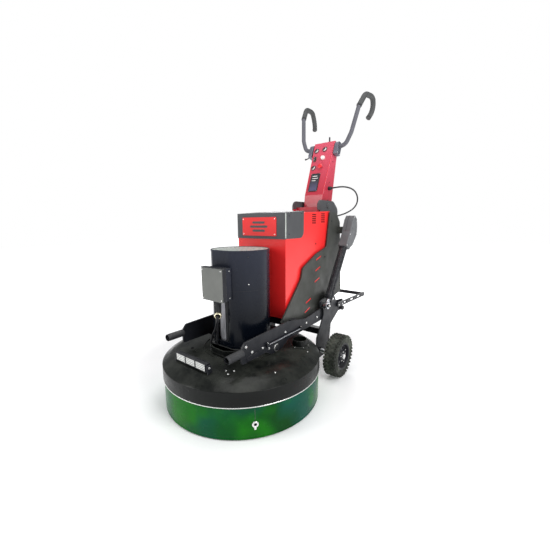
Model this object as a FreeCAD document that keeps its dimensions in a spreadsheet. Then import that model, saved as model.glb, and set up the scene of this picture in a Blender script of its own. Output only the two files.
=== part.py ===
# Planetary concrete floor grinder, as a parametric document.
#
# Frame: +Z up, -Y the machine's front (grinding head). Names say "right" for +X
# and "left" for -X. The origin is on the floor, under the middle of the machine's
# bounding box. Every sub-part is drawn about the grinding head's vertical axis,
# and its Placement moves it along Y by HeadY into that frame.
import FreeCAD, Part
import math
import os
import re

import Sketcher
from FreeCAD import Placement, Rotation, Vector

doc = FreeCAD.newDocument("ConcreteGrinder")
sheet = doc.addObject("Spreadsheet::Sheet", "Dims")

DIMENSIONS = (
    # alias, value in mm or degrees, meaning
    ("HeadY", -364, "grinding head axis along Y, from the origin"),
    # grinding head
    ("CoverRadius", 411.5, "outer radius of the head's cover"),
    ("CoverWall", 4, "wall of the cover"),
    ("CoverLip", 156, "height of the cover's lower edge"),
    ("CoverShoulder", 225, "height where the cover's side turns inwards"),
    ("CoverTop", 268, "height of the cover's flat top"),
    ("SkirtRadius", 406.8, "outer radius of the floating skirt"),
    ("SkirtWall", 4, "wall of the floating skirt"),
    ("SkirtBottom", 5, "gap between skirt and floor"),
    ("SkirtTop", 172, "upper edge of the skirt, inside the cover"),
    ("CarrierRadius", 330, "radius of the planetary carrier plate"),
    ("CarrierLevel", 92, "underside of the carrier plate"),
    ("DiscRadius", 128, "radius of a satellite grinding disc"),
    ("DiscOrbit", 245, "distance of a satellite axis from the head axis"),
    ("SegmentHeight", 12, "height of a diamond segment, which touches the floor"),
    ("SpindleRadius", 20, "radius of a satellite spindle"),
    ("ShaftRadius", 19, "radius of the motor shaft"),
    ("RunningGap", 0.05, "radial clearance of a shaft in its bore"),
    ("MotorRadius", 104, "radius of the motor's body without fins"),
    ("MotorBottom", 300, "mounting face of the motor"),
    ("MotorTop", 660, "upper end of the motor's body"),
    ("ShroudRadius", 149, "outer radius of the motor's sheet-metal shroud"),
    ("ShroudFlat", 137, "distance of the shroud's flat front from the axis"),
    ("ShroudTop", 777, "upper edge of the shroud"),
    ("ShroudWall", 3, "wall of the shroud"),
    ("BoxHalfWidth", 70, "half width of the terminal box"),
    ("BoxBottom", 548, "underside of the terminal box"),
    ("BoxHeight", 154, "height of the terminal box"),
    ("BoxDepth", 56, "depth of the terminal box"),
    ("TrunnionY", 19, "head pivot along Y"),
    ("TrunnionZ", 294, "head pivot height"),
    ("TrunnionRadius", 14, "radius of the head's pivot pins"),
    ("PortX", 258, "dust port along X"),
    ("PortY", 165, "dust port along Y"),
    ("PortRadius", 38, "outer radius of the dust port"),
    ("PortFlange", 50, "radius of the dust port's flange, set into the cover"),
    # chassis
    ("CabinetHalfWidth", 169, "half width of the cabinet"),
    ("CabinetFront", 161, "front of the cabinet"),
    ("CabinetBack", 638, "back of the cabinet"),
    ("CabinetFloor", 393, "underside of the cabinet"),
    ("SheetWall", 3, "wall of the cabinet, the hood and the console"),
    ("SidePlateInner", 176, "inner face of a side plate"),
    ("SidePlateThick", 8, "thickness of a side plate"),
    ("ArmPlateInner", 206, "inner face of an arm plate"),
    ("ArmPlateThick", 8, "thickness of an arm plate"),
    ("MastInner", 92, "inner face of a mast plate"),
    ("MastThick", 8, "thickness of a mast plate"),
    ("BeamSide", 40, "side of the square cross beams"),
    ("HandleTube", 16, "radius of the front lifting handles"),
    ("TowInner", 230, "inner face of a tow-bar arm"),
    ("TowThick", 8, "thickness of a tow-bar arm"),
    # wheels and lift
    ("WheelPlateInner", 218, "inner face of a wheel plate"),
    ("WheelPlateThick", 8, "thickness of a wheel plate"),
    ("LiftY", 585, "wheel carrier pivot along Y"),
    ("LiftZ", 432, "wheel carrier pivot height"),
    ("LiftPinRadius", 15, "radius of the carrier's pivot pins"),
    ("WheelRadius", 127, "outer radius of a tyre"),
    ("WheelWidth", 80, "width of a wheel"),
    ("WheelOuter", 381, "outer face of a wheel"),
    ("WheelY", 461, "wheel axle along Y"),
    ("RimRadius", 78, "radius where the tyre sits on the hub"),
    ("AxleRadius", 15, "radius of the axle"),
    ("ActuatorX", 254, "plane of the lift actuator"),
    ("ActuatorRadius", 24, "radius of the actuator's tube"),
    ("RodRadius", 12, "radius of the actuator's rod"),
    # console and handlebars
    ("FoldY", 745, "console pivot along Y"),
    ("FoldZ", 1020, "console pivot height"),
    ("FoldPinRadius", 12, "radius of the console pivot pin"),
    ("ConsoleHalfWidth", 80, "half width of the console at its top"),
    ("BarRadius", 14, "radius of a handlebar tube"),
    ("GripRadius", 18, "radius of a grip"),
    ("BarY", 868, "handlebar clamp along Y"),
    ("BarZ", 1420, "handlebar clamp height"),
    ("CordRadius", 5, "radius of the console's cable"),
)

for row, (alias, value, meaning) in enumerate(DIMENSIONS, start=1):
    sheet.set("A%d" % row, meaning)
    sheet.set("B%d" % row, str(value))
    sheet.setAlias("B%d" % row, alias)
doc.recompute()

ALIASES = {alias for alias, value, meaning in DIMENSIONS}
LEFT, RIGHT = -1, 1
X_AXIS, Y_AXIS, Z_AXIS = Vector(1, 0, 0), Vector(0, 1, 0), Vector(0, 0, 1)


# ---------------------------------------------------------------- values
def term(word):
    """One term of a sum: a number, an alias, or either times or over a number."""
    for sign, join in (("*", lambda a, b: a * b), ("/", lambda a, b: a / b)):
        if sign in word:
            first, second = word.split(sign)
            return join(term(first), term(second))
    if word.startswith("-"):
        return -term(word[1:])
    return float(sheet.get(word)) if word in ALIASES else float(word)


def number(value):
    """The number that a sum such as 'CoverRadius - CoverWall' stands for."""
    if not isinstance(value, str):
        return float(value)
    total, sign = 0.0, 1
    for word in value.split():
        if word in ("+", "-"):
            sign = 1 if word == "+" else -1
        else:
            total += sign * term(word)
    return total


def linked(value):
    """The same sum as an expression that reads the sheet."""
    return re.sub(r"[A-Z][A-Za-z]+", lambda found: "Dims." + found.group(), value)


def bind(item, **sizes):
    """Set properties, those given as text as expressions on the sheet."""
    for name, value in sizes.items():
        if isinstance(value, str):
            item.setExpression(name, linked(value))
        else:
            setattr(item, name, value)


def place(item, at, turn=Rotation()):
    """Place an object; a coordinate given as text is bound to the sheet."""
    item.Placement = Placement(Vector(*[number(value) for value in at]), turn)
    for letter, value in zip("xyz", at):
        if isinstance(value, str):
            item.setExpression("Placement.Base." + letter, linked(value))
    return item


# ---------------------------------------------------------------- solids
def cylinder(name, radius, height, at, axis=Z_AXIS):
    item = doc.addObject("Part::Cylinder", name)
    bind(item, Radius=radius, Height=height)
    return place(item, at, Rotation(Z_AXIS, axis))


def box(name, size, at, turn=Rotation()):
    item = doc.addObject("Part::Box", name)
    bind(item, Length=size[0], Width=size[1], Height=size[2])
    return place(item, at, turn)


def fuse(name, *items):
    item = doc.addObject("Part::MultiFuse", name)
    item.Shapes = list(items)
    return item


def cut(name, base, *tools):
    item = doc.addObject("Part::Cut", name)
    item.Base = base
    item.Tool = tools[0] if len(tools) == 1 else fuse(name + "_tools", *tools)
    return item


def role_plane(body, role):
    return [item for item in body.Origin.OriginFeatures if item.Role == role][0]


def corners_of(outline):
    return [Vector(number(point[0]), number(point[1]), 0) for point in outline]


def rounded_edges(corners, radii, closed=True):
    """Straight runs joined by tangent arcs, one radius per corner."""
    count = len(corners)
    starts, ends, arcs = list(corners), list(corners), [None] * count
    turning = range(count) if closed else range(1, count - 1)
    for i in turning:
        if radii[i] <= 0:
            continue
        back = (corners[i - 1] - corners[i]).normalize()
        ahead = (corners[(i + 1) % count] - corners[i]).normalize()
        turn = math.pi - back.getAngle(ahead)
        reach = radii[i] * math.tan(turn / 2)
        starts[i], ends[i] = corners[i] + back * reach, corners[i] + ahead * reach
        inward = (back + ahead).normalize()
        depth = radii[i] / math.cos(turn / 2) - radii[i]
        arcs[i] = Part.Arc(starts[i], corners[i] + inward * depth, ends[i])
    edges = []
    for i in range(count):
        if arcs[i]:
            edges.append(arcs[i])
        if closed or i < count - 1:
            following = starts[(i + 1) % count]
            if (following - ends[i]).Length > 1e-6:
                edges.append(Part.LineSegment(ends[i], following))
    return edges


def draw_rounded(sketch, outline):
    """A closed outline with tangent arcs at the corners that state a radius."""
    radii = [point[2] if len(point) > 2 else 0 for point in outline]
    sketch.addGeometry(rounded_edges(corners_of(outline), radii), False)


def draw_sharp(sketch, outline):
    """A closed polygon whose corners are held by dimensions on the sheet."""
    corners, first = corners_of(outline), sketch.GeometryCount
    count = len(corners)
    lines = [Part.LineSegment(corners[i], corners[(i + 1) % count]) for i in range(count)]
    sketch.addGeometry(lines, False)
    for i in range(count):
        link = Sketcher.Constraint("Coincident", first + i, 2, first + (i + 1) % count, 1)
        sketch.addConstraint(link)
    for i, point in enumerate(outline):
        for kind, value in zip(("DistanceX", "DistanceY"), point[:2]):
            size = Sketcher.Constraint(kind, -1, 1, first + i, 1, number(value))
            index = sketch.addConstraint(size)
            if isinstance(value, str):
                sketch.setExpression("Constraints[%d]" % index, linked(value))


def draw_circle(sketch, centre, radius):
    at = Vector(number(centre[0]), number(centre[1]), 0)
    index = sketch.addGeometry(Part.Circle(at, Z_AXIS, number(radius)), False)
    size = sketch.addConstraint(Sketcher.Constraint("Radius", index, number(radius)))
    if isinstance(radius, str):
        sketch.setExpression("Constraints[%d]" % size, linked(radius))


def sketch_on(body, role, name, outlines=(), circles=()):
    sketch = body.newObject("Sketcher::SketchObject", name)
    sketch.AttachmentSupport = [(role_plane(body, role), "")]
    sketch.MapMode = "FlatFace"
    for outline in outlines:
        if any(len(point) > 2 for point in outline):
            draw_rounded(sketch, outline)
        else:
            draw_sharp(sketch, outline)
    for centre, radius in circles:
        draw_circle(sketch, centre, radius)
    return sketch


def prism(name, outlines, length, at=(0, 0, 0), role="YZ_Plane", circles=()):
    """A body padded from a sketch: the first outline is solid, the rest are holes."""
    body = doc.addObject("PartDesign::Body", name)
    sketch = sketch_on(body, role, name + "_outline", outlines, circles)
    pad = body.newObject("PartDesign::Pad", name + "_pad")
    pad.Profile = sketch
    sketch.Visibility = False
    bind(pad, Length=length)
    return place(body, at)


def turned(name, outline, at=(0, 0, 0), turn=Rotation()):
    """A body revolved about its own Z axis from (radius, height) corners."""
    body = doc.addObject("PartDesign::Body", name)
    sketch = sketch_on(body, "XZ_Plane", name + "_profile", [outline])
    revolution = body.newObject("PartDesign::Revolution", name + "_turn")
    revolution.Profile = sketch
    revolution.ReferenceAxis = (sketch, ["V_Axis"])
    revolution.Angle = 360
    return place(body, at, turn)


def ring(name, outer, inner, bottom, top):
    """A plain ring or tube section about the Z axis."""
    return turned(name, [(inner, bottom), (outer, bottom), (outer, top), (inner, top)])


def tube(points, radii, radius):
    """A round bar along straight runs joined by tangent arcs."""
    path = Part.Wire([edge.toShape() for edge in rounded_edges(points, radii, closed=False)])
    start = (points[1] - points[0]).normalize()
    section = Part.Wire([Part.makeCircle(radius, points[0], start)])
    return path.makePipeShell([section], True, False)


def mirrored(shape):
    return shape.mirror(Vector(), X_AXIS)


def inset(outline, distance):
    """A closed outline, drawn anticlockwise, moved inwards by a distance."""
    corners = corners_of(outline)
    count, moved = len(corners), []
    for i in range(count):
        before = (corners[i] - corners[i - 1]).normalize()
        after = (corners[(i + 1) % count] - corners[i]).normalize()
        inward = Vector(-before.y, before.x, 0) + Vector(-after.y, after.x, 0)
        inward.normalize()
        along = inward.dot(Vector(-before.y, before.x, 0))
        moved.append(corners[i] + inward * (distance / along))
    return [(corner.x, corner.y) for corner in moved]


SUBPARTS = []


def subpart(label, item):
    """Name a finished sub-part and move it from the head axis to the origin frame."""
    item.Label = label
    known = {path.lstrip("."): text for path, text in item.ExpressionEngine}
    drawn = known.get("Placement.Base.y", repr(item.Placement.Base.y))
    item.setExpression("Placement.Base.y", "Dims.HeadY + (%s)" % drawn)
    SUBPARTS.append(item)
    return item


def shaped(label, shape):
    """A sub-part whose shape no primitive or sketch gives, such as a bent tube."""
    item = doc.addObject("Part::Feature", label)
    item.Shape = shape
    return subpart(label, item)


def side_start(side, inner, thick):
    """X of the face nearest -X of a plate that starts at inner on one side."""
    return inner if side == RIGHT else "-%s - %s" % (inner, thick)


def outward(side, inner, length):
    """Lowest X of a piece that reaches outwards from inner on one side."""
    return inner if side == RIGHT else -inner - length


def side_name(side):
    return "right" if side == RIGHT else "left"


# ---------------------------------------------------------------- grinding head
def head_cover():
    inner = "CoverRadius - CoverWall"
    shell = turned("cover_shell", [
        (60, "CoverTop - CoverWall"), (300, "CoverTop - CoverWall"),
        (343, "CoverTop - 10"), (372, "CoverTop - 24"), (401, "CoverTop - 43"),
        (inner, "CoverShoulder - 3"), (inner, "CoverLip"), ("CoverRadius", "CoverLip"),
        ("CoverRadius", "CoverShoulder"), (404, "CoverTop - 39"), (374, "CoverTop - 20"),
        (344, "CoverTop - 6"), (300, "CoverTop"), (60, "CoverTop"),
    ])
    hole = cylinder("cover_port_hole", "PortFlange", 40, ("PortX", "PortY", "CoverTop - 30"))
    subpart("head_cover", fuse("cover_fused", cut("cover_cut", shell, hole), *light_bracket()))


def dust_port():
    """A spigot for the suction hose, with a flange set into the cover."""
    port = turned("dust_port_body", [
        ("PortRadius - 3", -14), ("PortFlange", -14), ("PortFlange", 3), ("PortRadius", 3),
        ("PortRadius", 36), ("PortRadius - 3", 36),
    ], at=("PortX", "PortY", "CoverTop"))
    subpart("dust_port", port)


LUG_INNER, LUG_SIZE = 120, (80, 60, 46)         # a pivot lug of the head
TRUNNION_INNER, TRUNNION_LONG = 198, 24         # a pivot pin on a lug


def drive_housing():
    """Cast belt housing with the motor's flange and the head's pivot lugs."""
    drum = turned("drive_drum", [
        ("45 + RunningGap", 150), (280, 150), (280, 200), (58, 200), (58, "CoverTop + 1"),
        (146, "CoverTop + 1"), (146, "MotorBottom"), (24, "MotorBottom"), (24, 194),
        (270, 194), (270, 158), ("45 + RunningGap", 158),
    ])
    pieces = [drum]
    for side in (LEFT, RIGHT):
        name = side_name(side)
        lug = box("lug_" + name, LUG_SIZE,
                  (outward(side, LUG_INNER, LUG_SIZE[0]), "TrunnionY - 30", "CoverTop + 2"))
        pin_start = outward(side, TRUNNION_INNER, TRUNNION_LONG)
        pin = cylinder("trunnion_" + name, "TrunnionRadius", TRUNNION_LONG,
                       (pin_start, "TrunnionY", "TrunnionZ"), X_AXIS)
        pieces += [lug, pin]
    shroud_room = cylinder("shroud_room", "ShroudRadius + 1", 60, (0, 0, "MotorBottom"))
    subpart("drive_housing", cut("drive_cut", fuse("drive_solid", *pieces), shroud_room))


def motor_housing():
    """Finned motor body; the rotor turns in its bore."""
    can = turned("motor_can", [
        ("ShaftRadius + RunningGap", "MotorBottom"), ("MotorRadius", "MotorBottom"),
        ("MotorRadius", "MotorTop"), ("ShaftRadius + RunningGap", "MotorTop"),
        ("ShaftRadius + RunningGap", "MotorTop - 20"), (64, "MotorTop - 20"),
        (64, "MotorBottom + 20"), ("ShaftRadius + RunningGap", "MotorBottom + 20"),
    ])
    fin_count, fin_depth, fin_thick = 24, 16, 4
    fins = []
    for i in range(fin_count):
        turn = Rotation(Z_AXIS, 360.0 * i / fin_count)
        corner = turn.multVec(Vector(number("MotorRadius") - 1, -fin_thick / 2, 0))
        fins.append(box("fin_%d" % i, (fin_depth, fin_thick, "MotorTop - MotorBottom - 60"),
                        (corner.x, corner.y, "MotorBottom + 30"), turn))
    subpart("motor_housing", fuse("motor_fused", can, *fins))


BLADE_COUNT, BLADE_START, BLADE_SIZE = 8, 30, (62, 3, 26)       # blades of the cooling fan


def motor_rotor():
    """Shaft, rotor core, cooling fan and drive pulley."""
    rotor = turned("rotor_profile", [
        (0, 163), (52, 163), (52, 188), ("ShaftRadius", 188), ("ShaftRadius", "MotorBottom + 40"),
        (58, "MotorBottom + 40"), (58, "MotorTop - 40"), ("ShaftRadius", "MotorTop - 40"),
        ("ShaftRadius", "MotorTop + 30"), (94, "MotorTop + 30"), (94, "MotorTop + 36"),
        ("ShaftRadius", "MotorTop + 36"), ("ShaftRadius", "MotorTop + 60"), (0, "MotorTop + 60"),
    ])
    blades = []
    for i in range(BLADE_COUNT):
        turn = Rotation(Z_AXIS, 360.0 * i / BLADE_COUNT)
        corner = turn.multVec(Vector(BLADE_START, -BLADE_SIZE[1] / 2, 0))
        blades.append(box("blade_%d" % i, BLADE_SIZE,
                          (corner.x, corner.y, "MotorTop + 35"), turn))
    subpart("motor_rotor", fuse("rotor_fused", rotor, *blades))


def shroud_outline(shrink):
    """Circle with a flat front, as an arc and a chord."""
    radius = number("ShroudRadius") - shrink
    flat = number("ShroudFlat") - shrink
    half = math.sqrt(radius ** 2 - flat ** 2)
    arc = Part.Arc(Vector(half, -flat, 0), Vector(0, radius, 0), Vector(-half, -flat, 0))
    chord = Part.LineSegment(Vector(-half, -flat, 0), Vector(half, -flat, 0))
    return Part.Wire([arc.toShape(), chord.toShape()])


def flat_front_solid(shrink, bottom, height):
    face = Part.Face(shroud_outline(shrink))
    face.translate(Vector(0, 0, bottom))
    return face.extrude(Vector(0, 0, height))


WINDOW_SIZE, WINDOW_CORNER = (104, 80, 216), Vector(-62, -200, 330)     # opening in the front


def motor_shroud():
    """Sheet-metal shroud, open at the lower front and closed by a grille on top."""
    bottom, top = number("MotorBottom"), number("ShroudTop")
    shell = flat_front_solid(0, bottom, top - bottom)
    room = flat_front_solid(number("ShroudWall"), bottom, top - bottom)
    window = Part.makeBox(*WINDOW_SIZE, WINDOW_CORNER)
    shaped("motor_shroud", shell.cut(room).cut(window))


GRILLE_RINGS = ((40, 10), (70, 18), (100, 26), (125, 32))       # radius and count of the holes
GRILLE_HOLE, GRILLE_EDGE = 6, 14        # radius of a hole, margin at the flat front


def shroud_grille():
    """Perforated lid: rings of round holes."""
    top, thick = number("ShroudTop"), number("ShroudWall")
    lid = flat_front_solid(0, top, thick)
    holes = []
    for ring_radius, count in GRILLE_RINGS:
        for i in range(count):
            angle = 2 * math.pi * i / count
            x, y = ring_radius * math.cos(angle), ring_radius * math.sin(angle)
            if y > GRILLE_EDGE - number("ShroudFlat"):
                holes.append(Part.makeCylinder(GRILLE_HOLE, 3 * thick, Vector(x, y, top - thick)))
    shaped("shroud_grille", lid.cut(Part.makeCompound(holes)))


def junction_box():
    outer = box("terminal_outer", ("2*BoxHalfWidth", "BoxDepth", "BoxHeight"),
                ("-BoxHalfWidth", "-ShroudFlat - BoxDepth", "BoxBottom"))
    room = box("terminal_room", ("2*BoxHalfWidth - 6", "BoxDepth - 3", "BoxHeight - 6"),
               ("3 - BoxHalfWidth", "-ShroudFlat - BoxDepth", "BoxBottom + 3"))
    subpart("junction_box", cut("terminal_cut", outer, room))


def junction_lid():
    lid = box("terminal_lid", ("2*BoxHalfWidth + 6", 4, "BoxHeight + 6"),
              ("-BoxHalfWidth - 3", "-ShroudFlat - BoxDepth - 4", "BoxBottom - 3"))
    subpart("junction_lid", lid)


GLAND_Y, GLAND_BOTTOM = -165, 452


def cable_gland():
    """Conduit under the terminal box that ends in a brass gland."""
    gland = turned("gland_profile", [
        (4.6, 0), (13, 0), (16, 4), (16, 22), (12, 26), (12, 96), (4.6, 96),
    ], at=(0, GLAND_Y, GLAND_BOTTOM))
    subpart("cable_gland", gland)


def motor_lead():
    """Lead from the gland to the cover, held at both ends."""
    points = [Vector(*point) for point in (
        (0, GLAND_Y, GLAND_BOTTOM + 10), (0, GLAND_Y, 430), (-30, -161, 392),
        (-66, -155, 345), (-76, -152, 300), (-76, -152, number("CoverTop")))]
    shaped("motor_lead", tube(points, [0, 24, 50, 50, 60, 0], 4.5))


LIGHT_X, LIGHT_Y, LIGHT_Z = -9, -322, 289      # middle of the work light
LIGHT_LONG, LIGHT_DEEP, LIGHT_HIGH = 222, 28, 40
LENS_LONG, LENS_HIGH, LENS_PITCH = 64, 32, 71
LIGHT_PIN, PIN_LONG = 4, 17             # radius and length of a pivot pin
EAR_THICK, EAR_DEEP, EAR_FOOT = 4, 26, 244
EAR_GAP, EAR_RISE = 3, 8                # gap beside the housing, height above its axis


def light_bracket():
    """An ear with a pivot pin at each end of the work light, standing on the cover."""
    pieces = []
    for side in (LEFT, RIGHT):
        name = side_name(side)
        end = LIGHT_X + side * (LIGHT_LONG / 2 + EAR_GAP)
        ear_start = end if side == RIGHT else end - EAR_THICK
        pin_start = end + 1 - PIN_LONG if side == RIGHT else end - 1
        pieces.append(box("light_ear_" + name, (EAR_THICK, EAR_DEEP, LIGHT_Z + EAR_RISE - EAR_FOOT),
                          (ear_start, LIGHT_Y - 8, EAR_FOOT)))
        pieces.append(cylinder("light_pin_" + name, LIGHT_PIN, PIN_LONG,
                               (pin_start, LIGHT_Y, LIGHT_Z), X_AXIS))
    return pieces


def lens_starts():
    return [LIGHT_X + LENS_PITCH * step - LENS_LONG / 2 for step in (-1, 0, 1)]


def light_bar():
    """Housing of the three-lamp work light, with a bore at each end."""
    front, low = LIGHT_Y - LIGHT_DEEP / 2, LIGHT_Z - LENS_HIGH / 2
    body = box("light_body", (LIGHT_LONG, LIGHT_DEEP, LIGHT_HIGH),
               (LIGHT_X - LIGHT_LONG / 2, front, LIGHT_Z - LIGHT_HIGH / 2))
    bore = cylinder("light_bore", "%g + RunningGap" % LIGHT_PIN, LIGHT_LONG + 20,
                    (LIGHT_X - LIGHT_LONG / 2 - 10, LIGHT_Y, LIGHT_Z), X_AXIS)
    pockets = [box("light_pocket_%d" % i, (LENS_LONG, 5, LENS_HIGH), (x, front, low))
               for i, x in enumerate(lens_starts())]
    subpart("light_bar", cut("light_cut", body, bore, *pockets))


def light_lenses():
    front, low = LIGHT_Y - LIGHT_DEEP / 2, LIGHT_Z - LENS_HIGH / 2
    lenses = [box("lens_%d" % i, (LENS_LONG, 6, LENS_HIGH), (x, front - 1, low))
              for i, x in enumerate(lens_starts())]
    subpart("light_lenses", fuse("lenses_fused", *lenses))


STUD_ANGLE, STUD_LEVEL, STUD_RADIUS = -39.5, 74, 11         # fastener on the skirt's front


def skirt():
    """Skirt that floats up into the cover, with its front fastener."""
    wall = ring("skirt_wall", "SkirtRadius", "SkirtRadius - SkirtWall", "SkirtBottom", "SkirtTop")
    angle = math.radians(STUD_ANGLE)
    away = Vector(math.cos(angle), math.sin(angle), 0)
    base = away * (number("SkirtRadius") - 3)
    stud = cylinder("skirt_stud", STUD_RADIUS, 10, (base.x, base.y, STUD_LEVEL), away)
    subpart("skirt_ring", fuse("skirt_fused", wall, stud))


def planet_carrier():
    """Carrier plate with its hub and the bores of the satellite spindles."""
    plate = turned("carrier_profile", [
        (0, "CarrierLevel"), ("CarrierRadius", "CarrierLevel"),
        ("CarrierRadius", "CarrierLevel + 16"), (70, "CarrierLevel + 16"), (70, 148),
        (45, 148), (45, 159), (0, 159),
    ])
    bores = []
    for i in range(3):
        x, y = satellite_axis(i)
        bores.append(cylinder("spindle_bore_%d" % i, "SpindleRadius + RunningGap", 40,
                              (x, y, "CarrierLevel - 10")))
    subpart("planet_carrier", cut("carrier_cut", plate, *bores))


def satellite_axis(index):
    angle = math.radians(90 + 120 * index)
    orbit = number("DiscOrbit")
    return orbit * math.cos(angle), orbit * math.sin(angle)


SEGMENT_COUNT, SEGMENT_START, SEGMENT_SIZE = 6, 82, (38, 24)    # diamond segments of a disc


def grinding_disc(index):
    """Satellite disc with its spindle, and six diamond segments under it."""
    x, y = satellite_axis(index)
    name = "grinding_disc_%d" % (index + 1)
    disc = turned(name + "_profile", [
        (0, "SegmentHeight"), ("DiscRadius", "SegmentHeight"),
        ("DiscRadius", "SegmentHeight + 10"), (48, "SegmentHeight + 10"),
        (48, "CarrierLevel - 6"), ("SpindleRadius", "CarrierLevel - 6"),
        ("SpindleRadius", "CarrierLevel + 20"), (0, "CarrierLevel + 20"),
    ], at=(x, y, 0))
    segments = []
    for i in range(SEGMENT_COUNT):
        turn = Rotation(Z_AXIS, 360.0 * i / SEGMENT_COUNT + 15)
        corner = turn.multVec(Vector(SEGMENT_START, -SEGMENT_SIZE[1] / 2, 0))
        segments.append(box("%s_segment_%d" % (name, i), (*SEGMENT_SIZE, "SegmentHeight + 1"),
                            (x + corner.x, y + corner.y, 0), turn))
    subpart(name, fuse(name + "_fused", disc, *segments))


# ---------------------------------------------------------------- chassis
CABINET_RISE = 23    # the roof climbs by this much from front to back
CABINET_FRONT_TOP = 957
VENT_COLUMNS, VENT_LEVELS, VENT_PITCH = (425, 531), 5, 12
VENT_LONG, VENT_HIGH, VENT_FOOT = 44, 5, 905
INVERTER_SIZE, INVERTER_CORNER = (220, 190, 330), (-110, 420, "CabinetFloor + 3")
CABINET_SIDE = [
    ("CabinetFront", "CabinetFloor"), ("CabinetBack", "CabinetFloor"),
    ("CabinetBack", CABINET_FRONT_TOP + CABINET_RISE), ("CabinetFront", CABINET_FRONT_TOP),
]


def cabinet():
    """Cabinet with two columns of vent slots in each side and a cable gland at the back."""
    shell = prism("cabinet_shell", [CABINET_SIDE], "2*CabinetHalfWidth",
                  ("-CabinetHalfWidth", 0, 0))
    room = prism("cabinet_room", [inset(CABINET_SIDE, number("SheetWall"))],
                 "2*CabinetHalfWidth - 2*SheetWall", ("SheetWall - CabinetHalfWidth", 0, 0))
    slots = []
    for column, y in enumerate(VENT_COLUMNS):
        for level in range(VENT_LEVELS):
            slots.append(box("vent_%d_%d" % (column, level), (400, VENT_LONG, VENT_HIGH),
                             (-200, y, VENT_FOOT + VENT_PITCH * level + 6 * column)))
    gland = cylinder("cabinet_gland", 12, 12, (130, "CabinetBack", 936), Y_AXIS)
    subpart("cabinet", fuse("cabinet_fused", cut("cabinet_cut", shell, room, *slots), gland))


def inverter():
    """Motor drive inside the cabinet."""
    subpart("inverter", box("inverter_body", INVERTER_SIZE, INVERTER_CORNER))


def hood():
    """Folded hood over the cabinet's upper front."""
    outline = [("CabinetFront - 2.5", 826), (333, 826, 38), (333, 975),
               ("CabinetFront - 2.5", 962)]
    outer = prism("hood_outer", [outline], "2*CabinetHalfWidth + 5",
                  ("-CabinetHalfWidth - 2.5", 0, 0))
    room = prism("hood_room", [inset(CABINET_SIDE, -0.2)], "2*CabinetHalfWidth + 0.4",
                 ("-CabinetHalfWidth - 0.2", 0, 0))
    subpart("hood", cut("hood_cut", outer, room))


def badge_plate():
    subpart("badge_plate", box("badge", (242, 3, 100), (-130, "CabinetFront - 5.5", 840)))


SIDE_PLATE = [
    (100, 392, 6), (212, 510, 60), (292, 598, 30), (308, 658, 30), (454, 725, 40),
    (581, 760, 20), (618, 975, 8), (700, 975, 30), (757, 912, 20), (800, 440, 10),
    (690, 420, 20), (640, 340, 30), (330, 330, 30), (150, 350, 20),
]
SLOT_CENTRES = ((483, 698), (477, 633), (470, 566), (372, 456), (362, 401), (494, 350))


def slanted_slot(centre, length=58, width=9, rise=0.33):
    """Parallelogram slot that climbs to the rear."""
    y, z = centre
    half, climb = length / 2, rise * length / 2
    return [(y - half, z - climb - width / 2), (y + half, z + climb - width / 2),
            (y + half, z + climb + width / 2), (y - half, z - climb + width / 2)]


def side_plate(side):
    """Laser-cut plate beside the cabinet, with slanted slots and beam openings."""
    name = "side_plate_" + side_name(side)
    slots = [slanted_slot(centre) for centre in SLOT_CENTRES]
    beams = [beam_opening(y) for y in BEAM_Y]
    plate = prism(name + "_body", [SIDE_PLATE] + slots + beams, "SidePlateThick",
                  (side_start(side, "SidePlateInner", "SidePlateThick"), 0, 0))
    if side == RIGHT:
        plate = fuse(name + "_fused", plate, *actuator_bracket())
    subpart(name, plate)


BEAM_Y = (170, 596)


def beam_opening(y):
    low, high = y, y + number("BeamSide")
    top = number("CabinetFloor")
    bottom = top - number("BeamSide")
    return [(low, bottom), (high, bottom), (high, top), (low, top)]


def cross_beam(name, y):
    """Square tube from arm plate to arm plate, through both side plates."""
    outer = box(name + "_outer", ("2*ArmPlateInner", "BeamSide", "BeamSide"),
                ("-ArmPlateInner", y, "CabinetFloor - BeamSide"))
    inner = box(name + "_inner", ("2*ArmPlateInner", "BeamSide - 8", "BeamSide - 8"),
                ("-ArmPlateInner", y + 4, "CabinetFloor - BeamSide + 4"))
    subpart(name, cut(name + "_cut", outer, inner))


ARM_PLATE = [
    (-228, 296, 10), (-60, 296, 20), (-20, 272, 20), (60, 272, 20), (120, 306, 30),
    (560, 320, 30), (640, 340, 20), (690, 352, 10), (712, 320, 8), (758, 320, 8),
    (775, 352, 8), (775, 392, 10), (660, 400, 20), (622, 470, 20), (556, 470, 20),
    (480, 392, 30), (300, 372, 40), (120, 402, 30), (-206, 392, 12), (-228, 366, 12),
]


LIFT_PIN_INNER, LIFT_PIN_LONG = 213, 18
LIFT_CAP_INNER, LIFT_CAP_THICK, LIFT_CAP_RADIUS = 227, 5, 24
HANDLE_X, HANDLE_Y, HANDLE_Z, HANDLE_LONG = 212, -316, 349, 92
LOCK_AT = (735, 338)        # the clamp knob's stud, along Y and Z


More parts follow.
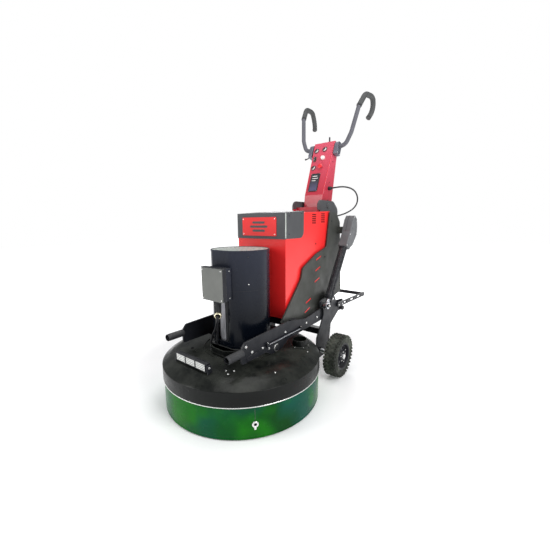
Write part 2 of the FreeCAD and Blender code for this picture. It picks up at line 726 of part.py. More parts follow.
def arm_plate(side):
    """Long arm with the head's pivot bore, the wheel carrier's pin and a lifting handle."""
    name = "arm_plate_" + side_name(side)
    circles = [(("TrunnionY", "TrunnionZ"), "TrunnionRadius + RunningGap"),
               (LOCK_AT, "5 + RunningGap")]
    plate = prism(name + "_body", [ARM_PLATE], "ArmPlateThick",
                  (side_start(side, "ArmPlateInner", "ArmPlateThick"), 0, 0), circles=circles)
    pin = cylinder(name + "_pin", "LiftPinRadius", LIFT_PIN_LONG,
                   (outward(side, LIFT_PIN_INNER, LIFT_PIN_LONG), "LiftY", "LiftZ"), X_AXIS)
    cap = cylinder(name + "_cap", LIFT_CAP_RADIUS, LIFT_CAP_THICK,
                   (outward(side, LIFT_CAP_INNER, LIFT_CAP_THICK), "LiftY", "LiftZ"), X_AXIS)
    handle_x = HANDLE_X * side
    handle = cylinder(name + "_handle", "HandleTube", HANDLE_LONG,
                      (handle_x, HANDLE_Y, HANDLE_Z), Y_AXIS)
    bore = cylinder(name + "_handle_bore", "HandleTube - 3", HANDLE_LONG - 6,
                    (handle_x, HANDLE_Y - 1, HANDLE_Z), Y_AXIS)
    grip = cut(name + "_grip", handle, bore)
    subpart(name, fuse(name + "_fused", plate, pin, cap, grip))


def lock_knob():
    """Clamp knob behind the wheel, on a stud through the arm plate."""
    knob = turned("knob_profile", [
        (0, 0), (5, 0), (5, 9), (11, 9), (15, 14), (15, 30), (12, 34), (0, 34),
    ], at=("ArmPlateInner", *LOCK_AT), turn=Rotation(Z_AXIS, X_AXIS))
    subpart("lock_knob", knob)


MAST_PLATE = [
    ("CabinetBack", 700), (790, 700, 30), (880, 900, 40), (893, 1000, 50), (820, 1054, 50),
    (612, 1054, 40), (612, 992), ("CabinetBack", 990),
]


def mast_plate(side):
    """Ear that carries the console's pivot."""
    name = "mast_plate_" + side_name(side)
    circles = [(("FoldY", "FoldZ"), "FoldPinRadius + RunningGap")]
    plate = prism(name + "_body", [MAST_PLATE], "MastThick",
                  (side_start(side, "MastInner", "MastThick"), 0, 0), circles=circles)
    subpart(name, plate)


TOW_SLOPE = -0.022
TOW_START, TOW_END, TOW_LEVEL = 654, 1112, 375
TOW_HALF, TOW_BAR_RADIUS = 15, 13       # half height of an arm, radius of the crossbar
TOW_SLOTS, SLOT_HALF_LONG, SLOT_HALF_HIGH = (758, 879, 1000), 28, 6
SPACER_INNER, SPACER_SIZE = 214, (17, 24, 24)


def tow_level(y):
    return TOW_LEVEL + TOW_SLOPE * (y - TOW_START)


def tow_arm(side):
    outline = [(TOW_START, tow_level(TOW_START) - TOW_HALF, 12),
               (TOW_END, tow_level(TOW_END) - TOW_HALF, 14),
               (TOW_END, tow_level(TOW_END) + TOW_HALF, 14),
               (TOW_START, tow_level(TOW_START) + TOW_HALF, 12)]
    slots = []
    for y in TOW_SLOTS:
        low, high = tow_level(y) - SLOT_HALF_HIGH, tow_level(y) + SLOT_HALF_HIGH
        slots.append([(y - SLOT_HALF_LONG, low), (y + SLOT_HALF_LONG, low),
                      (y + SLOT_HALF_LONG, high), (y - SLOT_HALF_LONG, high)])
    return prism("tow_arm_" + side_name(side), [outline] + slots, "TowThick",
                 (side_start(side, "TowInner", "TowThick"), 0, 0))


def tow_bar():
    """Two slotted arms joined by a round crossbar, on spacers from the arm plates."""
    bar_y = TOW_END - 18
    pieces = [tow_arm(LEFT), tow_arm(RIGHT)]
    pieces.append(cylinder("tow_crossbar", TOW_BAR_RADIUS, "2*TowInner + 2",
                           ("-TowInner - 1", bar_y, tow_level(bar_y)), X_AXIS))
    for side in (LEFT, RIGHT):
        start = outward(side, SPACER_INNER, SPACER_SIZE[0])
        pieces.append(box("tow_spacer_" + side_name(side), SPACER_SIZE, (start, 737, 361)))
    subpart("tow_bar", fuse("tow_fused", *pieces))


# ---------------------------------------------------------------- actuator
ACTUATOR_FOOT = Vector(0, 464, 418)
ACTUATOR_ALONG = Vector(0, 0.525, 0.851).normalize()
ACTUATOR_TURN = Rotation(Z_AXIS, ACTUATOR_ALONG)
ACTUATOR_HEAD = 520     # distance from the lower pin to the upper pin
TUBE_START = 46         # distance from the lower pin to the guide tube
ROD_START, ROD_LONG, EYE_RADIUS, EYE_WIDE, EYE_HOLE = 14, 250, 20, 26, 11.5
CASE_START = 392        # distance from the lower pin to the gear case
GEAR_CASE = [(-30, CASE_START, 5), (26, CASE_START, 5), (30, 404, 5), (30, 500, 5),
             (-30, 500, 5)]         # across and along the actuator, corner radius
MOTOR_CAN = [(6, 408, 5), (26, 408, 6), (52, 440, 14), (66, 530, 16), (40, 576, 14),
             (10, 610, 8), (-34, 610, 8), (-42, 572, 14), (-32, 500, 12), (-10, 430, 12)]
CASE_SIDE, CASE_WIDE = -26, 60      # first face of case and can from the actuator's plane


def on_actuator(x, across, along):
    """Point given along and across the actuator; across points to the rear and down."""
    across_way = Vector(0, ACTUATOR_ALONG.z, -ACTUATOR_ALONG.y)
    return (ACTUATOR_FOOT + ACTUATOR_ALONG * along + across_way * across
            + Vector(number("ActuatorX") + x, 0, 0))


BRACKET_SIZE, STUD_LONG, PIVOT_RADIUS = (40, 44, 44), 50, 10    # of the upper pin


def actuator_bracket():
    """Block on the right side plate with the actuator's upper pin."""
    pin = on_actuator(0, 0, ACTUATOR_HEAD)
    start = number("SidePlateInner") + number("SidePlateThick") - 1
    block = box("bracket_block", BRACKET_SIZE, (start, pin.y - 22, pin.z - 22))
    stud = cylinder("bracket_pin", PIVOT_RADIUS, STUD_LONG, (start + 30, pin.y, pin.z), X_AXIS)
    return block, stud


def actuator_tube():
    """Guide tube of the actuator; the rod slides in its bore."""
    low, high = TUBE_START, CASE_START
    outer = cylinder("actuator_outer", "ActuatorRadius", high - low,
                     tuple(on_actuator(0, 0, low)), ACTUATOR_ALONG)
    bore = cylinder("actuator_bore", "RodRadius + RunningGap", high - low,
                    tuple(on_actuator(0, 0, low - 20)), ACTUATOR_ALONG)
    subpart("actuator_tube", cut("actuator_tube_cut", outer, bore))


def actuator_prism(name, outline):
    """Outline of (across, along, radius) corners, padded along X."""
    corners = [(on_actuator(0, across, along), radius) for across, along, radius in outline]
    return prism(name, [[(corner.y, corner.z, radius) for corner, radius in corners]],
                 CASE_WIDE, ("ActuatorX + %d" % CASE_SIDE, 0, 0))


def actuator_motor():
    """Gear case and motor can at the actuator's upper end; the bracket's pin ends inside."""
    body = fuse("case_fused", actuator_prism("gear_case", GEAR_CASE),
                actuator_prism("motor_can_body", MOTOR_CAN))
    bore = cylinder("upper_bore", "%d + RunningGap" % PIVOT_RADIUS, 60,
                    tuple(on_actuator(-40, 0, ACTUATOR_HEAD)), X_AXIS)
    subpart("actuator_motor", cut("actuator_motor_cut", body, bore))


def actuator_rod():
    """Rod with the lower eye; the eye has play on its pin."""
    rod = cylinder("rod", "RodRadius", ROD_LONG, tuple(on_actuator(0, 0, ROD_START)),
                   ACTUATOR_ALONG)
    eye = cylinder("eye", EYE_RADIUS, EYE_WIDE, tuple(on_actuator(-EYE_WIDE / 2, 0, 0)), X_AXIS)
    hole = cylinder("eye_hole", EYE_HOLE, 2 * EYE_WIDE, tuple(on_actuator(-EYE_WIDE, 0, 0)),
                    X_AXIS)
    subpart("actuator_rod", cut("rod_cut", fuse("rod_fused", rod, eye), hole))


# ---------------------------------------------------------------- wheels
WHEEL_PLATE = [
    (436, 412, 14), (440, 446, 14), (566, 468, 20), (612, 462, 20), (668, 376, 10),
    (696, 336, 14), (580, 270, 14), (566, 160, 20), (504, 86, 24), (430, 84, 24),
    (404, 130, 20), (408, 220, 20), (452, 290, 20), (484, 352, 20), (478, 394, 14),
]


def wheel_plate(side):
    """Plate that swings on the arm's pin and carries the axle."""
    name = "wheel_plate_" + side_name(side)
    circles = [(("LiftY", "LiftZ"), "LiftPinRadius + RunningGap"),
               (("WheelY", "WheelRadius"), "AxleRadius")]
    plate = prism(name + "_body", [WHEEL_PLATE], "WheelPlateThick",
                  (side_start(side, "WheelPlateInner", "WheelPlateThick"), 0, 0),
                  circles=circles)
    if side == LEFT:
        subpart(name, plate)
        return
    foot = on_actuator(0, 0, 0)
    at = ("WheelPlateInner + WheelPlateThick - 1", foot.y, foot.z)
    collar = cylinder(name + "_collar", 16, 14, at, X_AXIS)
    pin = cylinder(name + "_pin", PIVOT_RADIUS, 48, at, X_AXIS)
    subpart(name, fuse(name + "_fused", plate, collar, pin))


def axle():
    subpart("axle", cylinder("axle_bar", "AxleRadius", "2*WheelOuter",
                             ("-WheelOuter", "WheelY", "WheelRadius"), X_AXIS))


CARRIER_BEAM_Y, CARRIER_BEAM_Z, BEAM_WALL = 505, 205, 4


def carrier_beam():
    """Square tube that ties the two wheel plates."""
    outer = box("carrier_outer", ("2*WheelPlateInner", "BeamSide", "BeamSide"),
                ("-WheelPlateInner", CARRIER_BEAM_Y, CARRIER_BEAM_Z))
    inner = box("carrier_inner", ("2*WheelPlateInner", "BeamSide - 8", "BeamSide - 8"),
                ("-WheelPlateInner", CARRIER_BEAM_Y + BEAM_WALL, CARRIER_BEAM_Z + BEAM_WALL))
    subpart("carrier_beam", cut("carrier_beam_cut", outer, inner))


def wheel_turn(side):
    return Rotation(Z_AXIS, X_AXIS * side)


def tyre(side):
    """Solid rubber tyre; its profile runs along the axle."""
    start = "WheelOuter - WheelWidth" if side == RIGHT else "WheelWidth - WheelOuter"
    profile = [
        ("RimRadius", 4), ("WheelRadius - 14", 4), ("WheelRadius - 3", 9), ("WheelRadius", 16),
        ("WheelRadius", "WheelWidth - 16"), ("WheelRadius - 3", "WheelWidth - 9"),
        ("WheelRadius - 14", "WheelWidth - 4"), ("RimRadius", "WheelWidth - 4"),
    ]
    name = "tyre_" + side_name(side)
    subpart(name, turned(name + "_profile", profile, (start, "WheelY", "WheelRadius"),
                         wheel_turn(side)))


def hub(side):
    """Dished hub with a running bore and five lightening holes."""
    start = "WheelOuter - WheelWidth" if side == RIGHT else "WheelWidth - WheelOuter"
    bore = "AxleRadius + RunningGap"
    profile = [
        (bore, 2), (32, 2), (32, 40), (62, 40), (62, 8), ("RimRadius", 8),
        ("RimRadius", "WheelWidth - 8"), (68, "WheelWidth - 8"), (68, 54), (32, 54),
        (32, "WheelWidth - 6"), (bore, "WheelWidth - 6"),
    ]
    name = "hub_" + side_name(side)
    turned_hub = turned(name + "_profile", profile, (start, "WheelY", "WheelRadius"),
                        wheel_turn(side))
    subpart(name, turned_hub)


# ---------------------------------------------------------------- console
CONSOLE_SIDE = [
    (706, 1000), (840, 996), (852, 1040), (896, 1330), (916, 1432), (906, 1456),
    (866, 1462), (722, 1095),
]
CONSOLE_FOOT, CONSOLE_TOP, FOOT_HALF_WIDTH = 990, 1470, 69.0    # the taper seen from the front
CREASE = Vector(0, 722, 1095)
FACE_UP = Vector(0, 144, 367).normalize()
FACE_OUT = Vector(0, -FACE_UP.z, FACE_UP.y)
FACE_TURN = Rotation(X_AXIS, FACE_UP, FACE_OUT, "ZXY")


def on_face(x, up, out=0):
    """Point on the console's front face, measured up from its crease."""
    return CREASE + Vector(x, 0, 0) + FACE_UP * up + FACE_OUT * out


def taper_solid(trim):
    """Front view of the console: narrower at the bottom than at the top."""
    low, high = FOOT_HALF_WIDTH - trim, number("ConsoleHalfWidth") - trim
    corners = [Vector(-low, 600, CONSOLE_FOOT), Vector(low, 600, CONSOLE_FOOT),
               Vector(high, 600, CONSOLE_TOP), Vector(-high, 600, CONSOLE_TOP)]
    face = Part.Face(Part.Wire(Part.makePolygon(corners + corners[:1])))
    return face.extrude(Vector(0, 400, 0))


def side_solid(outline):
    corners = [Vector(-120, y, z) for y, z in outline]
    face = Part.Face(Part.Wire(Part.makePolygon(corners + corners[:1])))
    return face.extrude(Vector(240, 0, 0))


def console_shell():
    """Tapered console with its pivot pin, aerial and the holes for its controls."""
    wall = number("SheetWall")
    outer = side_solid(CONSOLE_SIDE).common(taper_solid(0))
    room = side_solid(inset(CONSOLE_SIDE, wall)).common(taper_solid(wall))
    pin = Part.makeCylinder(number("FoldPinRadius"), 212, Vector(-106, number("FoldY"),
                            number("FoldZ")), X_AXIS)
    holes = [Part.makeCylinder(STEM + number("RunningGap"), 40, on_face(x, up, -20), FACE_OUT)
             for x, up in SWITCHES + (KNOB_AT, STOP_AT, START_AT)]
    shell = outer.fuse(antenna()).cut(room).cut(Part.makeCompound(holes)).fuse(pin)
    shaped("console_shell", shell)


SWITCHES = ((-51, 334), (12, 338), (-48, 204))      # selectors on the face: x, up
CAP_RADIUS, CAP_HIGH, BAR_SIZE, BAR_TURN = 13, 7, (7, 22, 9), -40       # a selector's cap and bar
KNOB_AT, STOP_AT, START_AT = (13, 272), (8, 208), (-50, 269)
STEM, STEM_DEPTH = 6, 22        # radius of a control's stem, its reach behind the face


def control_stem(x, up, length):
    return Part.makeCylinder(STEM, length, on_face(x, up, -STEM_DEPTH), FACE_OUT)


def rotary_switch(index):
    """Bezel-less selector: round base with a raised bar, on a stem."""
    x, up = SWITCHES[index]
    stem = control_stem(x, up, STEM_DEPTH + 2)
    cap = Part.makeCylinder(CAP_RADIUS, CAP_HIGH, on_face(x, up, 1), FACE_OUT)
    bar = Part.makeBox(*BAR_SIZE, Vector(-BAR_SIZE[0] / 2, -BAR_SIZE[1] / 2, 0))
    bar.Placement = Placement(on_face(x, up, CAP_HIGH), FACE_TURN).multiply(
        Placement(Vector(), Rotation(Z_AXIS, BAR_TURN)))
    shaped("rotary_switch_%d" % (index + 1), stem.fuse(cap).fuse(bar))


def speed_knob():
    stem = control_stem(*KNOB_AT, STEM_DEPTH + 2)
    cap = Part.makeCone(14, 12, 14, on_face(*KNOB_AT, 1), FACE_OUT)
    shaped("speed_knob", stem.fuse(cap))


def stop_button():
    """Mushroom head on a sprung stem."""
    stem = control_stem(*STOP_AT, STEM_DEPTH + 12)
    head = Part.makeCylinder(16, 8, on_face(*STOP_AT, 9), FACE_OUT)
    shaped("stop_button", stem.fuse(head))


def display_panel():
    panel = Part.makeBox(68, 132, 4, Vector(-34, 0, 0))
    panel.Placement = Placement(on_face(-15, 26), FACE_TURN)
    shaped("display_panel", panel)


def start_button():
    """Oval push button on a sprung stem."""
    head = Part.makeBox(16, 34, 7, Vector(-8, -17, 0))
    head.Placement = Placement(on_face(*START_AT, 4), FACE_TURN)
    edges = [edge for edge in head.Edges if abs(edge.tangentAt(0).dot(FACE_OUT)) > 0.99]
    stem = control_stem(*START_AT, STEM_DEPTH + 6)
    shaped("start_button", stem.fuse(head.makeFillet(7, edges)))


def antenna():
    top = Vector(26, 886, 1455)
    return Part.makeCylinder(4, 40, top, Z_AXIS).fuse(Part.makeCylinder(8, 10, top, Z_AXIS))


CLAMP_START, CLAMP_THICK = 84, 28       # a clamp block along X
CLAMP_TILT = Rotation(X_AXIS, -21)
LEVER_PIN = 4                           # radius of the clamp lever's pin


def clamp_block(start, size, corner, offset):
    """Box in the tilt of the clamps, its corner measured from the handlebar's axis."""
    block = Part.makeBox(*size, Vector(*corner))
    at = Vector(start, number("BarY") + offset[0], number("BarZ") + offset[1])
    block.Placement = Placement(at, CLAMP_TILT)
    return block


def bar_clamp(side):
    """Block on the console's side with the bore that the handlebar turns in."""
    block = clamp_block(CLAMP_START, (CLAMP_THICK, 52, 92), (0, -26, -62), (4, 0))
    neck = clamp_block(CLAMP_START - 5.5, (6, 34, 50), (0, -17, -42), (8, -4))
    neck = neck.cut(side_solid(CONSOLE_SIDE).common(taper_solid(0)))
    bore = Part.makeCylinder(number("BarRadius") + number("RunningGap"), 2 * CLAMP_THICK,
                             Vector(CLAMP_START - 10, number("BarY"), number("BarZ")), X_AXIS)
    shape = block.fuse(neck).cut(bore)
    if side == LEFT:
        shape = mirrored(shape).fuse(lever_pin(LEVER_PIN, -2, 12))
    shaped("bar_clamp_" + side_name(side), shape)


def handlebar_points():
    bar_y, bar_z = number("BarY"), number("BarZ")
    return [Vector(84, bar_y, bar_z), Vector(152, bar_y, bar_z), Vector(186, 884, 1500),
            GRIP_POINTS[0]]


GRIP_POINTS = [Vector(214, 926, 1666), Vector(230, 988, 1754), Vector(239, 1088, 1763),
               Vector(242, 1138, 1702), Vector(215, 1090, 1630)]
GRIP_RADII, BAR_RADII = (0, 58, 50, 90, 0), (0, 46, 90, 0)      # bends at those points


def handlebar(side):
    """Bent steel tube, from its clamp up to where the grip begins."""
    bar = tube(handlebar_points(), BAR_RADII, number("BarRadius"))
    shaped("handlebar_" + side_name(side), bar if side == RIGHT else mirrored(bar))


def grip(side):
    """Foam grip on the hooked end of the handlebar."""
    sleeve = tube(GRIP_POINTS, GRIP_RADII, number("GripRadius"))
    sleeve = sleeve.cut(tube(handlebar_points(), BAR_RADII, number("BarRadius")))
    shaped("grip_" + side_name(side), sleeve if side == RIGHT else mirrored(sleeve))


def lever_pin(radius, start, length):
    """Cylinder on the lever's axis, from start outwards past the left clamp's face."""
    at = Vector(-CLAMP_START - CLAMP_THICK - start, number("BarY") + 2, number("BarZ") - 40)
    return Part.makeCylinder(radius, length, at, -X_AXIS)


def clamp_lever():
    """Small lever at the left clamp that locks the handlebars; it turns on a pin."""
    boss = lever_pin(LEVER_PIN + 5, 0.6, 9)
    pivot = boss.CenterOfMass
    arm = tube([pivot + Vector(0, -6, -3), pivot + Vector(-4, -32, -18),
                pivot + Vector(-6, -56, -26)], [0, 30, 0], 4)
    shaped("clamp_lever", boss.fuse(arm).cut(lever_pin(LEVER_PIN + 0.05, -5, 30)))


CORD_POINTS = (
    (99.8, 798, 1140), (136, 801, 1144), (170, 832, 1147), (193, 884, 1141), (205, 938, 1124),
    (209, 978, 1086), (205, 980, 1040), (192, 946, 1003), (170, 890, 975), (147, 824, 957),
    (134, 762, 950), (130, 706, 944), (130, 651, 936),
)


def console_gland():
    """Cable gland on the console's right side."""
    base = Vector(72, 798, 1139)
    nut = Part.makeCylinder(14, 12, base + Vector(4, 0, 0), X_AXIS)
    neck = Part.makeCylinder(10, 12, base + Vector(15, 0, 0), X_AXIS)
    shell = side_solid(CONSOLE_SIDE).common(taper_solid(0))
    shaped("console_gland", nut.fuse(neck).cut(shell))


def console_cable():
    """Free cable that loops from the console's side into the cabinet's back."""
    points = [Vector(*point) for point in CORD_POINTS]
    radii = [0]
    for i in range(1, len(points) - 1):
        back, ahead = points[i - 1] - points[i], points[i + 1] - points[i]
        turn = math.pi - back.getAngle(ahead)
        radii.append(0.45 * min(back.Length, ahead.Length) / math.tan(turn / 2))
    radii.append(0)
    print("cable radii", [round(radius) for radius in radii])
    cable = tube(points, radii, number("CordRadius"))
    path = Part.Wire([edge.toShape() for edge in rounded_edges(points, radii, closed=False)])
    expected = path.Length * math.pi * number("CordRadius") ** 2
    print("cable length", round(path.Length), "volume ratio", round(cable.Volume / expected, 4))
    shaped("console_cable", cable)


# ---------------------------------------------------------------- assembly
head_cover()
dust_port()
drive_housing()
motor_housing()
motor_rotor()
motor_shroud()
shroud_grille()
junction_box()
junction_lid()
cable_gland()
motor_lead()
light_bar()
light_lenses()
skirt()
planet_carrier()
for satellite in range(3):
    grinding_disc(satellite)

cabinet()
inverter()
hood()
badge_plate()
cross_beam("front_beam", BEAM_Y[0])
cross_beam("rear_beam", BEAM_Y[1])
tow_bar()
lock_knob()
actuator_tube()
actuator_motor()
actuator_rod()
axle()
carrier_beam()
for which in (LEFT, RIGHT):
    side_plate(which)
    arm_plate(which)
    mast_plate(which)
    wheel_plate(which)
    tyre(which)
    hub(which)
    bar_clamp(which)
    handlebar(which)
    grip(which)

console_shell()
for switch in range(len(SWITCHES)):
    rotary_switch(switch)
speed_knob()
stop_button()
start_button()
display_panel()
clamp_lever()
console_gland()
console_cable()

doc.recompute()


# ---------------------------------------------------------------- checks and files
def check_document():
    for item in doc.Objects:
        if {"Invalid", "Error"} & set(item.State):
            raise RuntimeError("%s did not compute: %s" % (item.Label, item.State))
    for item in SUBPARTS:
        if item.Shape.isNull() or not item.Shape.isValid() or item.Shape.Volume <= 0:
            raise RuntimeError("%s has no valid shape" % item.Label)


def write_parts():
    os.makedirs("parts", exist_ok=True)
    for item in SUBPARTS:
        item.Shape.exportStep(os.path.join("parts", item.Label + ".step"))


check_document()
write_parts()
whole = Part.makeCompound([item.Shape for item in SUBPARTS])
print(len(SUBPARTS), "sub-parts, box", whole.BoundBox)
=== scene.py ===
import math

import bmesh
import bpy
from mathutils import Euler, Matrix, Vector


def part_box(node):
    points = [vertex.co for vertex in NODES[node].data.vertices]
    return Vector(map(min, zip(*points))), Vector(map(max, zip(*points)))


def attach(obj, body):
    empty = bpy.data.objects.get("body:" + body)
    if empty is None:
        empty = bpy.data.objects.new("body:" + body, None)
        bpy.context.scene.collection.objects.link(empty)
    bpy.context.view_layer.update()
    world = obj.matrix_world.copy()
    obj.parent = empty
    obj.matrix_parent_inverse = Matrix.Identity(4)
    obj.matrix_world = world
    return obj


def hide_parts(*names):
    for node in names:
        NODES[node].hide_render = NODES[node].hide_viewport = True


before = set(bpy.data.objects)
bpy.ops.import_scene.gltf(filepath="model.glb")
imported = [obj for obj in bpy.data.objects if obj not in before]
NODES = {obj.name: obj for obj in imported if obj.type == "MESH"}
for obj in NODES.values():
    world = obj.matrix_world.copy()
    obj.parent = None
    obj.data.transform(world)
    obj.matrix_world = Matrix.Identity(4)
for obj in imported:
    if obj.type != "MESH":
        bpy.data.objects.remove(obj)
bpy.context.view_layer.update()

scene = bpy.context.scene
X, Y, Z = Vector((1, 0, 0)), Vector((0, 1, 0)), Vector((0, 0, 1))
LEFT, RIGHT = -1, 1
SIDES = ((LEFT, "left"), (RIGHT, "right"))
MM = 0.001
FULL_TURN = 2 * math.pi

carrier_low, carrier_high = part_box("planet_carrier")
HEAD = Vector((0, (carrier_low.y + carrier_high.y) / 2, 0))


def mm(x, y, z):
    """Point in the row frame from millimetres about the grinding head's vertical axis."""
    return Vector((x, y, z)) * MM + HEAD


# ---------------------------------------------------------------- camera, light, floor
CAMERA_AT = mm(1080, -1102, 908)
CAMERA_AZIMUTH, CAMERA_PITCH, CAMERA_ROLL = 37.85, -9.83, -0.4
CAMERA_LENS, CAMERA_SENSOR = 19.59, 36
MIDDLE = (0, 0, 0.7)
# name, place, aim, size, power
LIGHTS = (("key_light", (3.2, -0.6, 2.6), MIDDLE, (1.8, 2.2), 95),
          ("front_light", (-1.9, -3.0, 2.2), (0, -0.3, 0.4), (1.4, 2.0), 48),
          ("top_light", (0.2, -0.4, 4.2), MIDDLE, (2.6, 2.6), 60),
          ("rear_light", (-1.6, 3.2, 2.4), (0, 0, 0.9), (2.0, 2.0), 60))
SEEN_SKY, LIT_SKY = ((1, 1, 1, 1), 1.0), ((0.93, 0.96, 1, 1), 0.30)
FLOOR_HALF, FLOOR_NEAR, FLOOR_FAR, FLOOR_GLOW = 14, 0.95, 1.9, 0.10


def put(name, data):
    item = bpy.data.objects.new(name, data)
    scene.collection.objects.link(item)
    return item


def make_camera():
    data = bpy.data.cameras.new("camera")
    data.sensor_width, data.lens = CAMERA_SENSOR, CAMERA_LENS
    data.clip_start, data.clip_end = 0.01, 60
    look = Euler((math.radians(90 + CAMERA_PITCH), 0, math.radians(CAMERA_AZIMUTH))).to_matrix()
    look = look @ Matrix.Rotation(math.radians(CAMERA_ROLL), 3, "Z")
    camera = put("camera", data)
    camera.matrix_world = Matrix.Translation(CAMERA_AT) @ look.to_4x4()
    scene.camera = camera


def make_studio():
    """Four soft lights; the sky is plain white to the camera and dimmer as a light."""
    for name, at, aim, size, power in LIGHTS:
        data = bpy.data.lights.new(name, "AREA")
        data.shape, data.energy = "RECTANGLE", power
        data.size, data.size_y = size
        light = put(name, data)
        light.location = at
        light.rotation_euler = (Vector(aim) - Vector(at)).to_track_quat("-Z", "Y").to_euler()
    scene.world = bpy.data.worlds.new("studio")
    scene.world.use_nodes = True
    tree = scene.world.node_tree
    seen, lit = tree.nodes["Background"], tree.nodes.new("ShaderNodeBackground")
    for sky, (colour, strength) in ((seen, SEEN_SKY), (lit, LIT_SKY)):
        sky.inputs["Color"].default_value = colour
        sky.inputs["Strength"].default_value = strength
    path = tree.nodes.new("ShaderNodeLightPath")
    mix = tree.nodes.new("ShaderNodeMixShader")
    tree.links.new(path.outputs["Is Camera Ray"], mix.inputs[0])
    tree.links.new(lit.outputs[0], mix.inputs[1])
    tree.links.new(seen.outputs[0], mix.inputs[2])
    tree.links.new(mix.outputs[0], tree.nodes["World Output"].inputs["Surface"])
    scene.view_settings.view_transform = "Standard"


def make_floor():
    """White floor that glows more with distance, so its edge melts into the sky."""
    mesh = bpy.data.meshes.new("floor")
    half = FLOOR_HALF
    corners = [(-half, -half, 0), (half, -half, 0), (half, half, 0), (-half, half, 0)]
    mesh.from_pydata(corners, [], [(0, 1, 2, 3)])
    look = Look("floor_white", (0.93, 0.93, 0.93), 0.6).tone(0.02, 2.0)
    reach = look.node("ShaderNodeVectorMath", operation="LENGTH")
    look.link(look.place, reach.inputs[0])
    glow = look.spread(reach.outputs["Value"], FLOOR_NEAR, FLOOR_FAR, FLOOR_GLOW, 1.0)
    look.link(glow, look.shader.inputs["Emission Strength"])
    look.shader.inputs["Emission Color"].default_value = (1, 1, 1, 1)
    mesh.materials.append(look.material)
    put("floor", mesh)


# ---------------------------------------------------------------- materials
EVEN = (1, 1, 1)
PAINTED_SHADE_DIRECTION = (0.79, 0.61, 0)        # level direction along which painted light and shade cross the skirt
